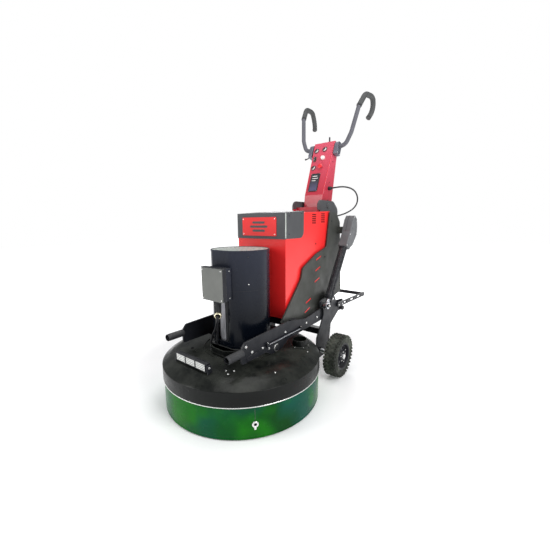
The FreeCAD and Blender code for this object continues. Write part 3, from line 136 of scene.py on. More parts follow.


class Look:
    """A Principled material built up from procedural layers."""

    def __init__(self, name, colour, rough, metal=0.0, coat=0.0, coat_rough=0.06, spec=0.5):
        self.material = bpy.data.materials.new(name)
        self.material.use_nodes = True
        self.tree = self.material.node_tree
        self.shader = self.tree.nodes["Principled BSDF"]
        for socket, value in (("Metallic", metal), ("Coat Weight", coat),
                              ("Coat Roughness", coat_rough), ("Specular IOR Level", spec),
                              ("Roughness", rough)):
            self.shader.inputs[socket].default_value = value
        self.rough = rough
        self.place = self.node("ShaderNodeTexCoord").outputs["Object"]
        self.colour = self.rgb(colour)
        self.height = None
        self.paint()

    def node(self, kind, **settings):
        made = self.tree.nodes.new(kind)
        for key, value in settings.items():
            setattr(made, key, value)
        return made

    def link(self, source, target):
        self.tree.links.new(source, target)

    def rgb(self, colour):
        made = self.node("ShaderNodeRGB")
        made.outputs[0].default_value = (*colour, 1)
        return made.outputs[0]

    def noise(self, scale, detail=3.0, rough=0.5, stretch=EVEN):
        place = self.node("ShaderNodeMapping")
        place.inputs["Scale"].default_value = stretch
        self.link(self.place, place.inputs["Vector"])
        made = self.node("ShaderNodeTexNoise")
        made.inputs["Scale"].default_value = scale
        made.inputs["Detail"].default_value = detail
        made.inputs["Roughness"].default_value = rough
        self.link(place.outputs[0], made.inputs["Vector"])
        return made.outputs["Fac"]

    def spread(self, source, low, high, to_low=0.0, to_high=1.0):
        made = self.node("ShaderNodeMapRange")
        for key, value in (("From Min", low), ("From Max", high), ("To Min", to_low),
                           ("To Max", to_high)):
            made.inputs[key].default_value = value
        self.link(source, made.inputs["Value"])
        return made.outputs[0]

    def product(self, first, second):
        made = self.node("ShaderNodeMath", operation="MULTIPLY", use_clamp=True)
        self.link(first, made.inputs[0])
        self.link(second, made.inputs[1])
        return made.outputs[0]

    def upward(self, source):
        """The height part of a vector socket."""
        split = self.node("ShaderNodeSeparateXYZ")
        self.link(source, split.inputs[0])
        return split.outputs["Z"]

    def over(self, colour, factor):
        """Lays another colour over what is there, by a factor socket."""
        mix = self.node("ShaderNodeMix", data_type="RGBA")
        ends = [socket for socket in mix.inputs if socket.type == "RGBA"]
        self.link(factor, mix.inputs["Factor"])
        self.link(self.colour, ends[0])
        self.link(self.rgb(colour), ends[1])
        self.colour = [socket for socket in mix.outputs if socket.type == "RGBA"][0]
        return self.paint()

    def paint(self):
        self.link(self.colour, self.shader.inputs["Base Color"])
        return self

    def tone(self, amount, scale, stretch=EVEN):
        """Uneven brightness of the colour and uneven gloss."""
        bright = self.node("ShaderNodeHueSaturation")
        field = self.noise(scale, 4.0, 0.6, stretch)
        self.link(self.spread(field, 0.3, 0.7, 1 - amount, 1 + amount), bright.inputs["Value"])
        self.link(self.colour, bright.inputs["Color"])
        self.colour = bright.outputs[0]
        gloss = self.spread(self.noise(scale * 3.7, 4.0), 0.3, 0.7, self.rough * (1 - amount),
                            min(1, self.rough * (1 + 2 * amount)))
        self.link(gloss, self.shader.inputs["Roughness"])
        return self.paint()

    def bump(self, scale, depth, stretch=EVEN, detail=2.0, coat=False):
        """Fine relief; depth is in metres."""
        made = self.node("ShaderNodeBump")
        made.inputs["Distance"].default_value = depth
        made.inputs["Strength"].default_value = 1.0
        self.link(self.noise(scale, detail, 0.5, stretch), made.inputs["Height"])
        if self.height is not None:
            self.link(self.height, made.inputs["Normal"])
        self.height = made.outputs[0]
        self.link(self.height, self.shader.inputs["Normal"])
        if coat:
            self.link(self.height, self.shader.inputs["Coat Normal"])
        return self

    def worn_and_lit_edges(self, colour, amount, radius=0.0018):
        """Another colour along the edges: paint rubbed thin, and on the console a painted edge
        highlight.
        """
        soft = self.node("ShaderNodeBevel", samples=4)
        soft.inputs["Radius"].default_value = radius
        flat = self.node("ShaderNodeNewGeometry")
        dot = self.node("ShaderNodeVectorMath", operation="DOT_PRODUCT")
        self.link(soft.outputs[0], dot.inputs[0])
        self.link(flat.outputs["Normal"], dot.inputs[1])
        edge = self.spread(dot.outputs["Value"], 0.985, 0.86)
        patchy = self.spread(self.noise(55, 5.0, 0.7), 0.42, 0.62, 0, amount)
        return self.over(colour, self.product(edge, patchy))

    def dusty(self, colour, amount, scale=9.0):
        """Pale dust that settles on what faces up; on the cover it stands partly for a painted
        reflection.
        """
        normal = self.node("ShaderNodeNewGeometry").outputs["Normal"]
        up = self.spread(self.upward(normal), 0.25, 1.0)
        patchy = self.spread(self.noise(scale, 5.0, 0.65), 0.35, 0.75, 0, amount)
        return self.over(colour, self.product(up, patchy))

    def by_height(self, colour, low, high, amount=1.0):
        """Another colour that comes in between two heights, in metres."""
        return self.over(colour, self.spread(self.upward(self.place), low, high, 0, amount))

    def across(self, colour, low, high, amount=1.0):
        """Painted light and shade: another colour that comes in along a level line through the
        head, in metres.
        """
        dot = self.node("ShaderNodeVectorMath", operation="DOT_PRODUCT")
        self.link(self.place, dot.inputs[0])
        dot.inputs[1].default_value = PAINTED_SHADE_DIRECTION
        return self.over(colour, self.spread(dot.outputs["Value"], low, high, 0, amount))

    def patches(self, colour, scale, low, high, amount=1.0):
        """Soft clouds of another colour."""
        return self.over(colour, self.spread(self.noise(scale, 2.0), low, high, 0, amount))

    def lamp(self, colour, strength):
        self.shader.inputs["Emission Color"].default_value = (*colour, 1)
        self.shader.inputs["Emission Strength"].default_value = strength
        return self


STEEL_WEAR, DUST, COVER_DUST_AND_SHEEN = (0.30, 0.30, 0.30), (0.34, 0.33, 0.31), (0.095, 0.100, 0.085)
# depths of relief in metres
POLISHED, SMOOTH, POWDER, MOULDED, CAST = 0.00001, 0.00002, 0.00003, 0.00004, 0.0002
WAVY = 0.0012


def make_looks():
    looks = {
        "red": Look("red_enamel", (0.78, 0.020, 0.020), 0.36, coat=0.25, coat_rough=0.14,
                    spec=0.35)
        .tone(0.07, 3).bump(420, SMOOTH, coat=True).worn_and_lit_edges((0.30, 0.02, 0.02), 0.5),
        # painted sheen: the console's upper part is painted a paler pink, and the pale pink along
        # its edges is a painted edge highlight
        "console": Look("red_enamel_painted_sheen", (0.42, 0.012, 0.030), 0.36, coat=0.35,
                        coat_rough=0.16, spec=0.4)
        .by_height((0.58, 0.070, 0.115), 1.05, 1.40).tone(0.08, 5)
        .bump(420, SMOOTH, coat=True).worn_and_lit_edges((0.85, 0.50, 0.55), 0.5),
        "plate": Look("black_powder_coat", (0.011, 0.012, 0.016), 0.42, coat=0.06,
                      coat_rough=0.3, spec=0.25)
        .tone(0.16, 6).bump(900, POWDER).worn_and_lit_edges(STEEL_WEAR, 0.55).dusty(DUST, 0.12),
        "side": Look("olive_black_powder_coat", (0.044, 0.046, 0.041), 0.46, coat=0.05,
                     coat_rough=0.3, spec=0.3)
        .tone(0.18, 5).bump(900, POWDER).worn_and_lit_edges(STEEL_WEAR, 0.55),
        "hood": Look("charcoal_powder_coat", (0.062, 0.064, 0.068), 0.48, coat=0.05,
                     coat_rough=0.35, spec=0.35)
        .tone(0.12, 5).bump(900, POWDER).worn_and_lit_edges((0.5, 0.5, 0.5), 0.6).dusty(DUST, 0.15),
        # painted reflection: the shroud is painted a lighter blue-grey towards its top
        "shroud": Look("blue_black_enamel", (0.0022, 0.0036, 0.0070), 0.24, coat=0.05,
                       coat_rough=0.1, spec=0.10)
        .by_height((0.024, 0.027, 0.040), 0.46, 0.80).tone(0.14, 4, (1, 1, 0.3))
        .bump(300, POWDER, coat=True).worn_and_lit_edges(STEEL_WEAR, 0.4).dusty(DUST, 0.10),
        # the olive colour on the cover's up-facing surfaces is partly dust and partly painted
        # reflection
        "cover": Look("black_gloss_enamel", (0.0045, 0.0055, 0.0050), 0.30, coat=0.10,
                      coat_rough=0.12, spec=0.12)
        .tone(0.25, 5).bump(26, WAVY, detail=1.0).bump(380, POWDER, coat=True)
        .worn_and_lit_edges(STEEL_WEAR, 0.5).dusty(COVER_DUST_AND_SHEEN, 0.50, 6.0),
        # painted light and shade on the skirt: lighter towards the front left, darker towards the
        # rear right, with teal and bright green clouds that are painted reflections
        "green": Look("green_enamel", (0.0006, 0.062, 0.006), 0.24, coat=0.06,
                      coat_rough=0.08, spec=0.08)
        .across((0.0040, 0.120, 0.030), -0.10, -0.55, 0.8)
        .across((0.0002, 0.028, 0.002), -0.10, 0.25, 0.8)
        .patches((0.0015, 0.075, 0.055), 3.1, 0.50, 0.62, 0.8)
        .patches((0.008, 0.150, 0.004), 4.3, 0.54, 0.68, 0.9)
        .tone(0.10, 9).bump(16, WAVY, detail=0.0).bump(330, SMOOTH, coat=True),
        "cast": Look("painted_casting", (0.034, 0.035, 0.036), 0.5, spec=0.35)
        .tone(0.2, 12).bump(240, CAST, detail=4.0).dusty(DUST, 0.2),
        "motor": Look("cast_aluminium", (0.28, 0.28, 0.30), 0.46, metal=0.6)
        .tone(0.14, 14).bump(500, 0.00008, detail=4.0),
        "steel": Look("brushed_steel", (0.60, 0.61, 0.62), 0.30, metal=1.0)
        .tone(0.10, 20).bump(260, MOULDED, (1, 1, 12)),
        "zinc": Look("zinc_plated_steel", (0.82, 0.82, 0.80), 0.26, metal=0.9)
        .tone(0.10, 60).bump(900, SMOOTH),
        "chrome": Look("satin_chrome", (0.50, 0.51, 0.54), 0.24, metal=1.0)
        .tone(0.12, 9).bump(700, POLISHED),
        "bar": Look("grey_bar_enamel", (0.105, 0.106, 0.122), 0.55, spec=0.25)
        .tone(0.10, 9).bump(600, 0.000008),
        "brass": Look("turned_brass", (0.86, 0.79, 0.56), 0.22, metal=0.9)
        .tone(0.10, 50).bump(800, SMOOTH, (1, 1, 6)),
        "segment": Look("diamond_segment", (0.33, 0.29, 0.25), 0.62, metal=0.55)
        .tone(0.2, 90).bump(1600, 0.0001, detail=5.0),
        "tyre": Look("tyre_rubber", (0.030, 0.033, 0.027), 0.74, spec=0.3)
        .tone(0.25, 18).bump(500, 0.0001, detail=5.0)
        .patches((0.12, 0.13, 0.105), 14, 0.46, 0.68, 0.7),
        "cable": Look("cable_rubber", (0.014, 0.014, 0.016), 0.40, spec=0.4)
        .tone(0.2, 30).bump(1200, SMOOTH),
        "grip": Look("grip_rubber", (0.064, 0.066, 0.066), 0.60, spec=0.3)
        .tone(0.10, 26).bump(1500, MOULDED, detail=4.0),
        "dark": Look("dark_moulded_plastic", (0.026, 0.027, 0.030), 0.5, spec=0.35)
        .tone(0.12, 25).bump(1400, MOULDED, detail=4.0).dusty(DUST, 0.12),
        "grey": Look("grey_moulded_plastic", (0.130, 0.135, 0.124), 0.46, spec=0.4)
        .tone(0.12, 9).bump(1100, MOULDED, detail=4.0),
        "drive": Look("grey_drive_casting", (0.115, 0.118, 0.124), 0.46, spec=0.4)
        .tone(0.14, 12).bump(700, 0.00006, detail=4.0).worn_and_lit_edges((0.4, 0.4, 0.4), 0.5),
        "grille": Look("pale_galvanised_sheet", (0.50, 0.54, 0.50), 0.44, metal=0.35)
        .tone(0.15, 40).bump(600, POWDER),
        "white": Look("white_moulded_plastic", (0.80, 0.80, 0.77), 0.34, coat=0.3)
        .tone(0.04, 30).bump(900, SMOOTH),
        "stop": Look("red_moulded_plastic", (0.74, 0.022, 0.030), 0.30, coat=0.5)
        .tone(0.06, 40).bump(900, SMOOTH),
        "lens": Look("lamp_lens", (0.42, 0.43, 0.41), 0.30, coat=0.3)
        .tone(0.08, 80).bump(700, 0.00005),
        "led": Look("lamp_diode", (0.95, 0.95, 0.92), 0.3)
        .lamp((1, 1, 0.96), 0.25).tone(0.05, 200).bump(900, POWDER),
        # painted reflection: the display glass is painted darker and greyer towards its top
        "glass": Look("display_glass", (0.085, 0.080, 0.150), 0.16, coat=0.8, coat_rough=0.03)
        .by_height((0.035, 0.035, 0.040), 1.14, 1.20).tone(0.1, 20).bump(200, SMOOTH),
        "knob": Look("silver_plastic", (0.66, 0.66, 0.64), 0.30, metal=0.3, coat=0.4)
        .tone(0.05, 40).bump(900, SMOOTH),
        "clamp": Look("blasted_clamp", (0.15, 0.155, 0.19), 0.40, metal=0.5)
        .tone(0.12, 20).bump(1200, 0.00005, detail=4.0).worn_and_lit_edges((0.6, 0.6, 0.62), 0.5),
        "hole": Look("shadowed_hole", (0.006, 0.006, 0.007), 0.7, spec=0.1)
        .tone(0.2, 40).bump(500, MOULDED),
    }
    return {name: look.material for name, look in looks.items()}


make_camera()
make_studio()
make_floor()
LOOKS = make_looks()


# ---------------------------------------------------------------- mesh tools
SMOOTH_BELOW, BEVEL_ABOVE = math.radians(38), math.radians(30)
TOUCHING = 1e-6


def soft_edges(item, width, segments=2):
    bevel = item.modifiers.new("edges", "BEVEL")
    bevel.width, bevel.segments = width, segments
    bevel.limit_method, bevel.angle_limit = "ANGLE", BEVEL_ABOVE
    bevel.harden_normals = True


def piece(name, bm, look, body, bevel=0.0, segments=2, replaces=()):
    """A finished piece from a bmesh drawn in the row frame."""
    bmesh.ops.remove_doubles(bm, verts=bm.verts, dist=TOUCHING)
    bmesh.ops.recalc_face_normals(bm, faces=bm.faces)
    mesh = bpy.data.meshes.new(name)
    bm.to_mesh(mesh)
    bm.free()
    mesh.shade_smooth()
    mesh.set_sharp_from_angle(angle=SMOOTH_BELOW)
    mesh.materials.append(LOOKS[look])
    item = put(name, mesh)
    if bevel:
        soft_edges(item, bevel, segments)
    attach(item, body)
    if replaces:
        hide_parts(*replaces)
    return item


def carried(look, bevel, *nodes):
    """CAD nodes that stay, with their material and softened edges."""
    for node in nodes:
        item = NODES[node]
        item.data.materials.clear()
        item.data.materials.append(LOOKS[look])
        weld = item.modifiers.new("weld", "WELD")
        weld.merge_threshold = 1e-5
        if bevel:
            soft_edges(item, bevel)


def cut_with(item, bm):
    """Takes a solid out of a piece and keeps the result as its mesh."""
    mesh = bpy.data.meshes.new("cutter")
    bm.to_mesh(mesh)
    bm.free()
    cutter = put("cutter", mesh)
    cut = item.modifiers.new("cut", "BOOLEAN")
    cut.operation, cut.solver, cut.object = "DIFFERENCE", "EXACT", cutter
    graph = bpy.context.evaluated_depsgraph_get()
    item.data = bpy.data.meshes.new_from_object(item.evaluated_get(graph))
    item.modifiers.remove(cut)
    bpy.data.objects.remove(cutter)
    item.data.shade_smooth()
    item.data.set_sharp_from_angle(angle=SMOOTH_BELOW)


def stand(x=0.0, y=0.0, z=0.0):
    """Upright placement at head-centred mm."""
    return Matrix.Translation(mm(x, y, z))


def frame_on(axis, at):
    """Placement whose Z runs along an axis."""
    turn = Vector(axis).to_track_quat("Z", "Y").to_matrix().to_4x4()
    return Matrix.Translation(at) @ turn


def facing(axis, x, y, z):
    """Placement at head-centred mm whose Z runs along an axis."""
    return frame_on(axis, mm(x, y, z))


def basis(*axes):
    """Turn that lays u, v and thickness along three directions."""
    return Matrix(axes).transposed().to_4x4()


def shift(x, y, z):
    return Matrix.Translation(Vector((x, y, z)) * MM)


def turned(angle, axis="Z"):
    return Matrix.Rotation(math.radians(angle), 4, axis)


ON_FRONT, ON_BACK, ON_SIDE = basis(X, Z, -Y), basis(X, Z, Y), basis(Y, Z, X)


def sideways(x):
    """Placement for outlines of head-centred (y, z), pushed from x towards +X."""
    return stand(x) @ ON_SIDE


def around(count, radius, start=0.0):
    """Points evenly about a circle, from an angle in degrees."""
    angles = [math.radians(start + 360 / count * i) for i in range(count)]
    return [(radius * math.cos(a), radius * math.sin(a)) for a in angles]


def lathe(profile, place, steps=48, closed=False, start=0.0, span=FULL_TURN, bm=None):
    """Revolves (radius, height) points, in mm, about the placement's Z."""
    bm = bm or bmesh.new()
    whole = abs(span - FULL_TURN) < TOUCHING
    angles = [start + span * i / steps for i in range(steps if whole else steps + 1)]
    rings = [[bm.verts.new(place @ (Vector((p[0] * math.cos(a), p[0] * math.sin(a), p[1])) * MM))
              for p in profile] for a in angles]
    on_axis = [p[0] < 1e-9 for p in profile]
    count = len(profile)
    for i in range(steps):
        first, second = rings[i], rings[(i + 1) % len(rings)]
        for j in range(count if closed else count - 1):
            k = (j + 1) % count
            if on_axis[j] and on_axis[k]:
                continue
            corners = [first[j], second[j], second[k], first[k]]
            if on_axis[j]:
                corners = [first[j], second[k], first[k]]
            if on_axis[k]:
                corners = [first[j], second[j], first[k]]
            bm.faces.new(corners)
    return bm


def rod(radius, low, high):
    """Profile of a solid rod between two heights."""
    return [(0, low), (radius, low), (radius, high), (0, high)]


def ring(inner, outer, low, high):
    """Closed profile of a plain ring between two heights."""
    return [(inner, low), (outer, low), (outer, high), (inner, high)]


def lathes(*jobs):
    """One bmesh of several lathe jobs: (profile, place, steps[, closed]) each."""
    bm = bmesh.new()
    for job in jobs:
        lathe(*job, bm=bm)
    return bm


def block(bm, size, place):
    """A box of a size in mm, centred on the placement."""
    made = bmesh.ops.create_cube(bm, size=1)
    scale = Matrix.Diagonal((*[s * MM for s in size], 1))
    bmesh.ops.transform(bm, matrix=place @ scale, verts=made["verts"])


def cuboids(*corners, bm=None):
    """Boxes from corner to corner, in head-centred mm, with the corners in any order."""
    bm = bm or bmesh.new()
    for one, other in corners:
        centre = [(a + b) / 2 for a, b in zip(one, other)]
        block(bm, [abs(b - a) for a, b in zip(one, other)], stand(*centre))
    return bm


def arc_corner(before, corner, after, radius, steps):
    """Points of the arc that rounds a corner, or the corner itself."""
    if radius <= 0:
        return [corner]
    back, ahead = (before - corner).normalized(), (after - corner).normalized()
    turn = math.pi - back.angle(ahead)
    if turn < 1e-3:
        return [corner]
    reach = radius * math.tan(turn / 2)
    inward = (back + ahead).normalized()
    centre = corner + inward * (radius / math.cos(turn / 2))
    first = (corner + back * reach - centre).normalized()
    last = (corner + ahead * reach - centre).normalized()
    return [centre + first.slerp(last, i / steps) * radius for i in range(steps + 1)]


def rounded(corners, closed=True, steps=8):
    """Outline or path with each (x, y[, z], radius) corner rounded, as Vectors."""
    points = [Vector(c[:-1]).to_3d() for c in corners]
    made = []
    for i, corner in enumerate(corners):
        if not closed and i in (0, len(corners) - 1):
            made.append(points[i])
            continue
        made += arc_corner(points[i - 1], points[i], points[(i + 1) % len(points)],
                           corner[-1], steps)
    return made


def contour(steps, *corners):
    """Open outline for the lathe, its corners rounded in some steps."""
    return rounded(corners, False, steps)


def panel(low, high, radius=0.0, steps=8):
    """Rectangle from corner to corner with all its corners rounded alike."""
    (x0, y0), (x1, y1) = low, high
    return rounded([(x, y, radius) for x, y in ((x0, y0), (x1, y0), (x1, y1), (x0, y1))],
                   steps=steps)


def oblong(half_wide, half_tall, radius=0.0, steps=8):
    """Rectangle about the middle."""
    return panel((-half_wide, -half_tall), (half_wide, half_tall), radius, steps)


def skin(rings, place, bm=None):
    """Joins outlines of equal count, each at its own height, into one skin."""
    bm = bm or bmesh.new()
    loops = [[bm.verts.new(place @ (Vector((p[0], p[1], height)) * MM)) for p in outline]
             for outline, height in rings]
    for first, second in zip(loops, loops[1:]):
        for i in range(len(first)):
            j = (i + 1) % len(first)
            bm.faces.new([first[i], first[j], second[j], second[i]])
    return bm, loops


def prism(outline, thick, place, bm=None):
    """Outline of (u, v) points in mm, pushed along the placement's Z by a thickness in mm."""
    bm, loops = skin(((outline, 0), (outline, thick)), place, bm)
    bm.faces.new(loops[0][::-1])
    bm.faces.new(loops[1])
    return bm


def sweep(path, radius, steps=20, bm=None):
    """Round bar along a path of head-centred mm points."""
    bm = bm or bmesh.new()
    points = [mm(*p) for p in path]
    side = (points[1] - points[0]).orthogonal().normalized()
    rings = []
    for i, point in enumerate(points):
        ahead = (points[min(i + 1, len(points) - 1)] - points[max(i - 1, 0)]).normalized()
        side = (side - ahead * side.dot(ahead)).normalized()
        across = ahead.cross(side)
        rings.append([bm.verts.new(point + (side * x + across * y) * MM)
                      for x, y in around(steps, radius)])
    for first, second in zip(rings, rings[1:]):
        for k in range(steps):
            j = (k + 1) % steps
            bm.faces.new([first[k], first[j], second[j], second[k]])
    bm.faces.new(rings[0][::-1])
    bm.faces.new(rings[-1])
    return bm


def hex_bolt(bm, at, axis, size):
    """Washer and hexagon head; size is the thread in mm."""
    place = frame_on(axis, at)
    lathe([(0, -1), (size * 1.1, -1), (size * 1.1, 1.2), (size, 1.6), (0, 1.6)], place, 24,
          bm=bm)
    lathe([(0, 1), (size * 0.9, 1), (size * 0.9, size * 0.6), (size * 0.76, size * 0.7),
           (0, size * 0.7)], place, 6, bm=bm)


def cap_screw(bm, at, axis, size):
    """Domed socket screw with its recess."""
    lathe([(0, -1), (size, -1), (size, size * 0.3), (size * 0.82, size * 0.62),
           (size * 0.45, size * 0.72), (size * 0.40, size * 0.25), (0, size * 0.25)],
          frame_on(axis, at), 20, bm=bm)


def spots(axis, size, *points):
    """Bolts or screws of one size at head-centred points."""
    return [(mm(*point), axis, size) for point in points]


def fasteners(name, body, bolts=(), screws=(), look="zinc"):
    """One mesh of the bolts and screws of a body: (point, axis, size) each."""
    bm = bmesh.new()
    for bolt in bolts:
        hex_bolt(bm, *bolt)
    for screw in screws:
        cap_screw(bm, *screw)
    piece(name, bm, look, body)


# ---------------------------------------------------------------- head cover and skirt
PORT = (258, 165)
COVER_TOP = 268
SKIRT = 406.8
EYELET_AT, EYELET_HEIGHT = math.radians(-39.5), 74
EYELET_OUT = Vector((math.cos(EYELET_AT), math.sin(EYELET_AT), 0))


def make_cover():
    outer = contour(4, (60, COVER_TOP, 0), (300, COVER_TOP, 120), (344, 262, 90), (374, 249, 60),
                    (404, 230, 5), (411.5, 225, 3), (411.5, 156, 3), (407.5, 156, 0))
    inner = [(407.5, 221), (401, 225), (372, 244), (343, 258), (300, 264), (60, 264)]
    cover = piece("cover_dome", lathe([*outer, *inner], stand(), 192, True), "cover",
                  "grinding_head", replaces=["head_cover"])
    cut_with(cover, lathe(rod(50, 236, 290), stand(*PORT), 48))
    trim = [(407.8, 153.5), (411.6, 153.5), (412.6, 155), (412.6, 157), (411.7, 158.2),
            (407.8, 158.2)]
    piece("cover_trim", lathe(trim, stand(), 192, True), "zinc", "grinding_head")
    ledge = contour(3, (200, 266, 0), (200, 271.5, 2), (206, 271.5, 2), (206, 266, 0))
    piece("cover_ledge", lathe(ledge, stand(), 160, True), "cover", "grinding_head")
    plug = lathe([(0, 271), (5, 271), (7, 269.5), (7, 267)], stand(-168, -203), 24)
    piece("cover_plug", plug, "hole", "grinding_head")


def make_port():
    port = contour(4, (35, 254, 0), (50, 254, 0), (50, 271, 1), (39, 271, 2), (38, 274, 2),
                   (38, 300, 0), (39.4, 301.5, 1), (38, 304, 1), (35, 304, 0.6))
    piece("port_spigot", lathe(port, stand(*PORT), 64, True), "cover", "grinding_head",
          replaces=["dust_port"])
    circle = [(PORT[0] + x, PORT[1] + y, 271) for x, y in around(6, 44.5, 30)]
    fasteners("port_screws", "grinding_head", screws=spots(Z, 2.6, *circle))


def on_skirt(out):
    """Point over the skirt's face at the eyelet."""
    return HEAD + EYELET_OUT * (SKIRT + out) * MM + Z * EYELET_HEIGHT * MM


def skirt_plate(name, outline, thick, look, bevel=0.0):
    """A thin plate on the skirt's face at the eyelet, drawn (along, up) from its middle."""
    place = Matrix.Translation(on_skirt(-0.4)) @ basis(Z.cross(EYELET_OUT), Z, EYELET_OUT)
    piece(name, prism(rounded(outline, steps=4), thick, place), look, "skirt", bevel)


def make_skirt():
    wall = contour(3, (402.8, 172, 0), (SKIRT, 172, 1), (SKIRT, 20, 2), (SKIRT - 1.2, 17, 1),
                   (SKIRT - 1.2, 14, 1), (SKIRT, 11, 2), (SKIRT, 5, 1.5), (402.8, 5, 1))
    piece("skirt_shell", lathe(wall, stand(), 192, True), "green", "skirt",
          replaces=["skirt_ring"])
    place = frame_on(EYELET_OUT, on_skirt(0))
    eyelet = contour(5, (6.5, -2, 0), (6.5, 5, 2), (14.5, 5, 2.4), (14.5, -2, 0))
    piece("skirt_eyelet", lathe(eyelet, place, 40), "zinc", "skirt")
    core = lathe([(0, 1.5), (4, 1.5), (6.6, 0.2), (6.6, -1)], place, 24)
    piece("skirt_eyelet_core", core, "hole", "skirt")
    skirt_plate("skirt_tab", [(-4, -26, 2), (4, -26, 2), (6, -13, 1), (-6, -13, 1)], 2.2, "zinc",
                0.0006)
    seam = [(-0.9, 15, 0), (0.9, 15, 0), (0.9, 80, 0), (-0.9, 80, 0)]
    skirt_plate("skirt_seam", seam, 0.6, "plate")


def make_cover_details():
    pads = spots(Z, 4.5, (153, -266, COVER_TOP), (183, -246, COVER_TOP), (183, -282, COVER_TOP))
    edge = [(x, y, 259) for x, y in around(8, 352, 22.5) if abs(x) > 200 or y > 0]
    fasteners("cover_screws", "grinding_head", screws=pads + spots(Z, 4.0, *edge))
    flange = contour(4, (147, 262, 0), (168, 262, 3), (168, 285, 3), (152, 289, 2),
                     (152, 299, 1), (140, 299, 0))
    piece("motor_flange", lathe(flange, stand(), 128), "cast", "grinding_head")
    circle = [(x, y, 287) for x, y in around(12, 160, 15)]
    fasteners("flange_bolts", "grinding_head", bolts=spots(Z, 5, *circle))
    for (_, word), low in zip(SIDES, (-190, 128)):
        bm = bmesh.new()
        for y in (-8, 46):
            prism(panel((y - 3, 269), (y + 3, 316)), 62, sideways(low), bm)
        piece("lug_webs_" + word, bm, "cast", "grinding_head", 0.001)


# ---------------------------------------------------------------- work light
LIGHT = (-9, -322, 289)
LIGHT_FRONT = LIGHT[1] - 14
LENS_PITCH, LENS_LONG, LENS_HIGH, LENS_EDGE = 71, 64, 32, 3
DIODE_ROWS, DIODE_COLUMNS, DIODE_PITCH = 4, 8, 8


def make_light():
    x, y, z = LIGHT
    front = LIGHT_FRONT
    housing = cuboids(((x - 111, front + 4, z - 20), (x + 111, y + 4, z + 20)))
    piece("light_housing", housing, "plate", "work_light", 0.0022, 3, replaces=["light_bar"])
    fins = cuboids(*(((at - 1.3, y + 3, z - 18), (at + 1.3, y + 14, z + 18))
                   for at in range(x - 105, x + 106, 10)))
    piece("light_fins", fins, "plate", "work_light", 0.0005)
    frames, lenses, diodes = bmesh.new(), bmesh.new(), bmesh.new()
    for centre in (x - LENS_PITCH, x, x + LENS_PITCH):
        low_x, high_x = centre - LENS_LONG / 2, centre + LENS_LONG / 2
        low_z, high_z = z - LENS_HIGH / 2, z + LENS_HIGH / 2
        left, right, back = low_x - LENS_EDGE, high_x + LENS_EDGE, front + 5
        cuboids(((left, front, low_z - LENS_EDGE), (right, back, low_z)),
              ((left, front, high_z), (right, back, high_z + LENS_EDGE)),
              ((left, front, low_z), (low_x, back, high_z)),
              ((high_x, front, low_z), (right, back, high_z)), bm=frames)
        cuboids(((low_x, front + 1.4, low_z), (high_x, front + 4.4, high_z)), bm=lenses)
        for row in range(DIODE_ROWS):
            for column in range(DIODE_COLUMNS):
                along, up = (DIODE_PITCH * (step + 0.5) for step in (column, row))
                lathe([(0, 1.1), (1.2, 0.9), (2.1, 0)],
                      facing(-Y, low_x + along, front + 1.4, low_z + up), 10, bm=diodes)
    piece("light_bezels", frames, "plate", "work_light", 0.0007)
    piece("light_panels", lenses, "lens", "work_light", 0.0004, replaces=["light_lenses"])
    piece("light_diodes", diodes, "led", "work_light")
    ears = bmesh.new()
    outline = rounded([(y - 9, 246, 2), (y + 18, 246, 2), (y + 14, 284, 8), (y + 8, 302, 8),
                       (y - 9, 302, 8), (y - 12, 284, 8)], steps=5)
    for edge in (x - 118, x + 114):
        prism(outline, 4, sideways(edge), ears)
    piece("light_ears", ears, "plate", "grinding_head", 0.0006)
    pivots = [(mm(x + side * 118, y, z), X * side, 5) for side, _ in SIDES]
    fasteners("light_pivots", "grinding_head", bolts=pivots)


# ---------------------------------------------------------------- motor and its shroud
SHROUD_R, SHROUD_FLAT, SHROUD_WALL = 149, 137, 3
SHROUD_LOW, SHROUD_SEAM, SHROUD_TOP = 300, 588, 777
WINDOW_X, WINDOW_Z = (-62, 42), (330, 546)
FRONT_POINTS = (-50, -34, -17, 0, 17, 30, 42, 50)
SCREW_LEVELS, SCREW_TURNS = (622, 345, 752), (-32, 25, 150, 212)
BRIGHT_SCREW = (622, -32)


def shroud_plan(shrink=0.0, steps=84):
    """Plan of the shroud: an arc closed by a flat front."""
    radius, flat = SHROUD_R - shrink, SHROUD_FLAT - shrink
    gap = math.acos(flat / radius)
    start, finish = -math.pi / 2 + gap, 1.5 * math.pi - gap
    angles = [start + (finish - start) * i / steps for i in range(steps + 1)]
    return [(radius * math.cos(a), radius * math.sin(a)) for a in angles] + [
        (x, -flat) for x in FRONT_POINTS]


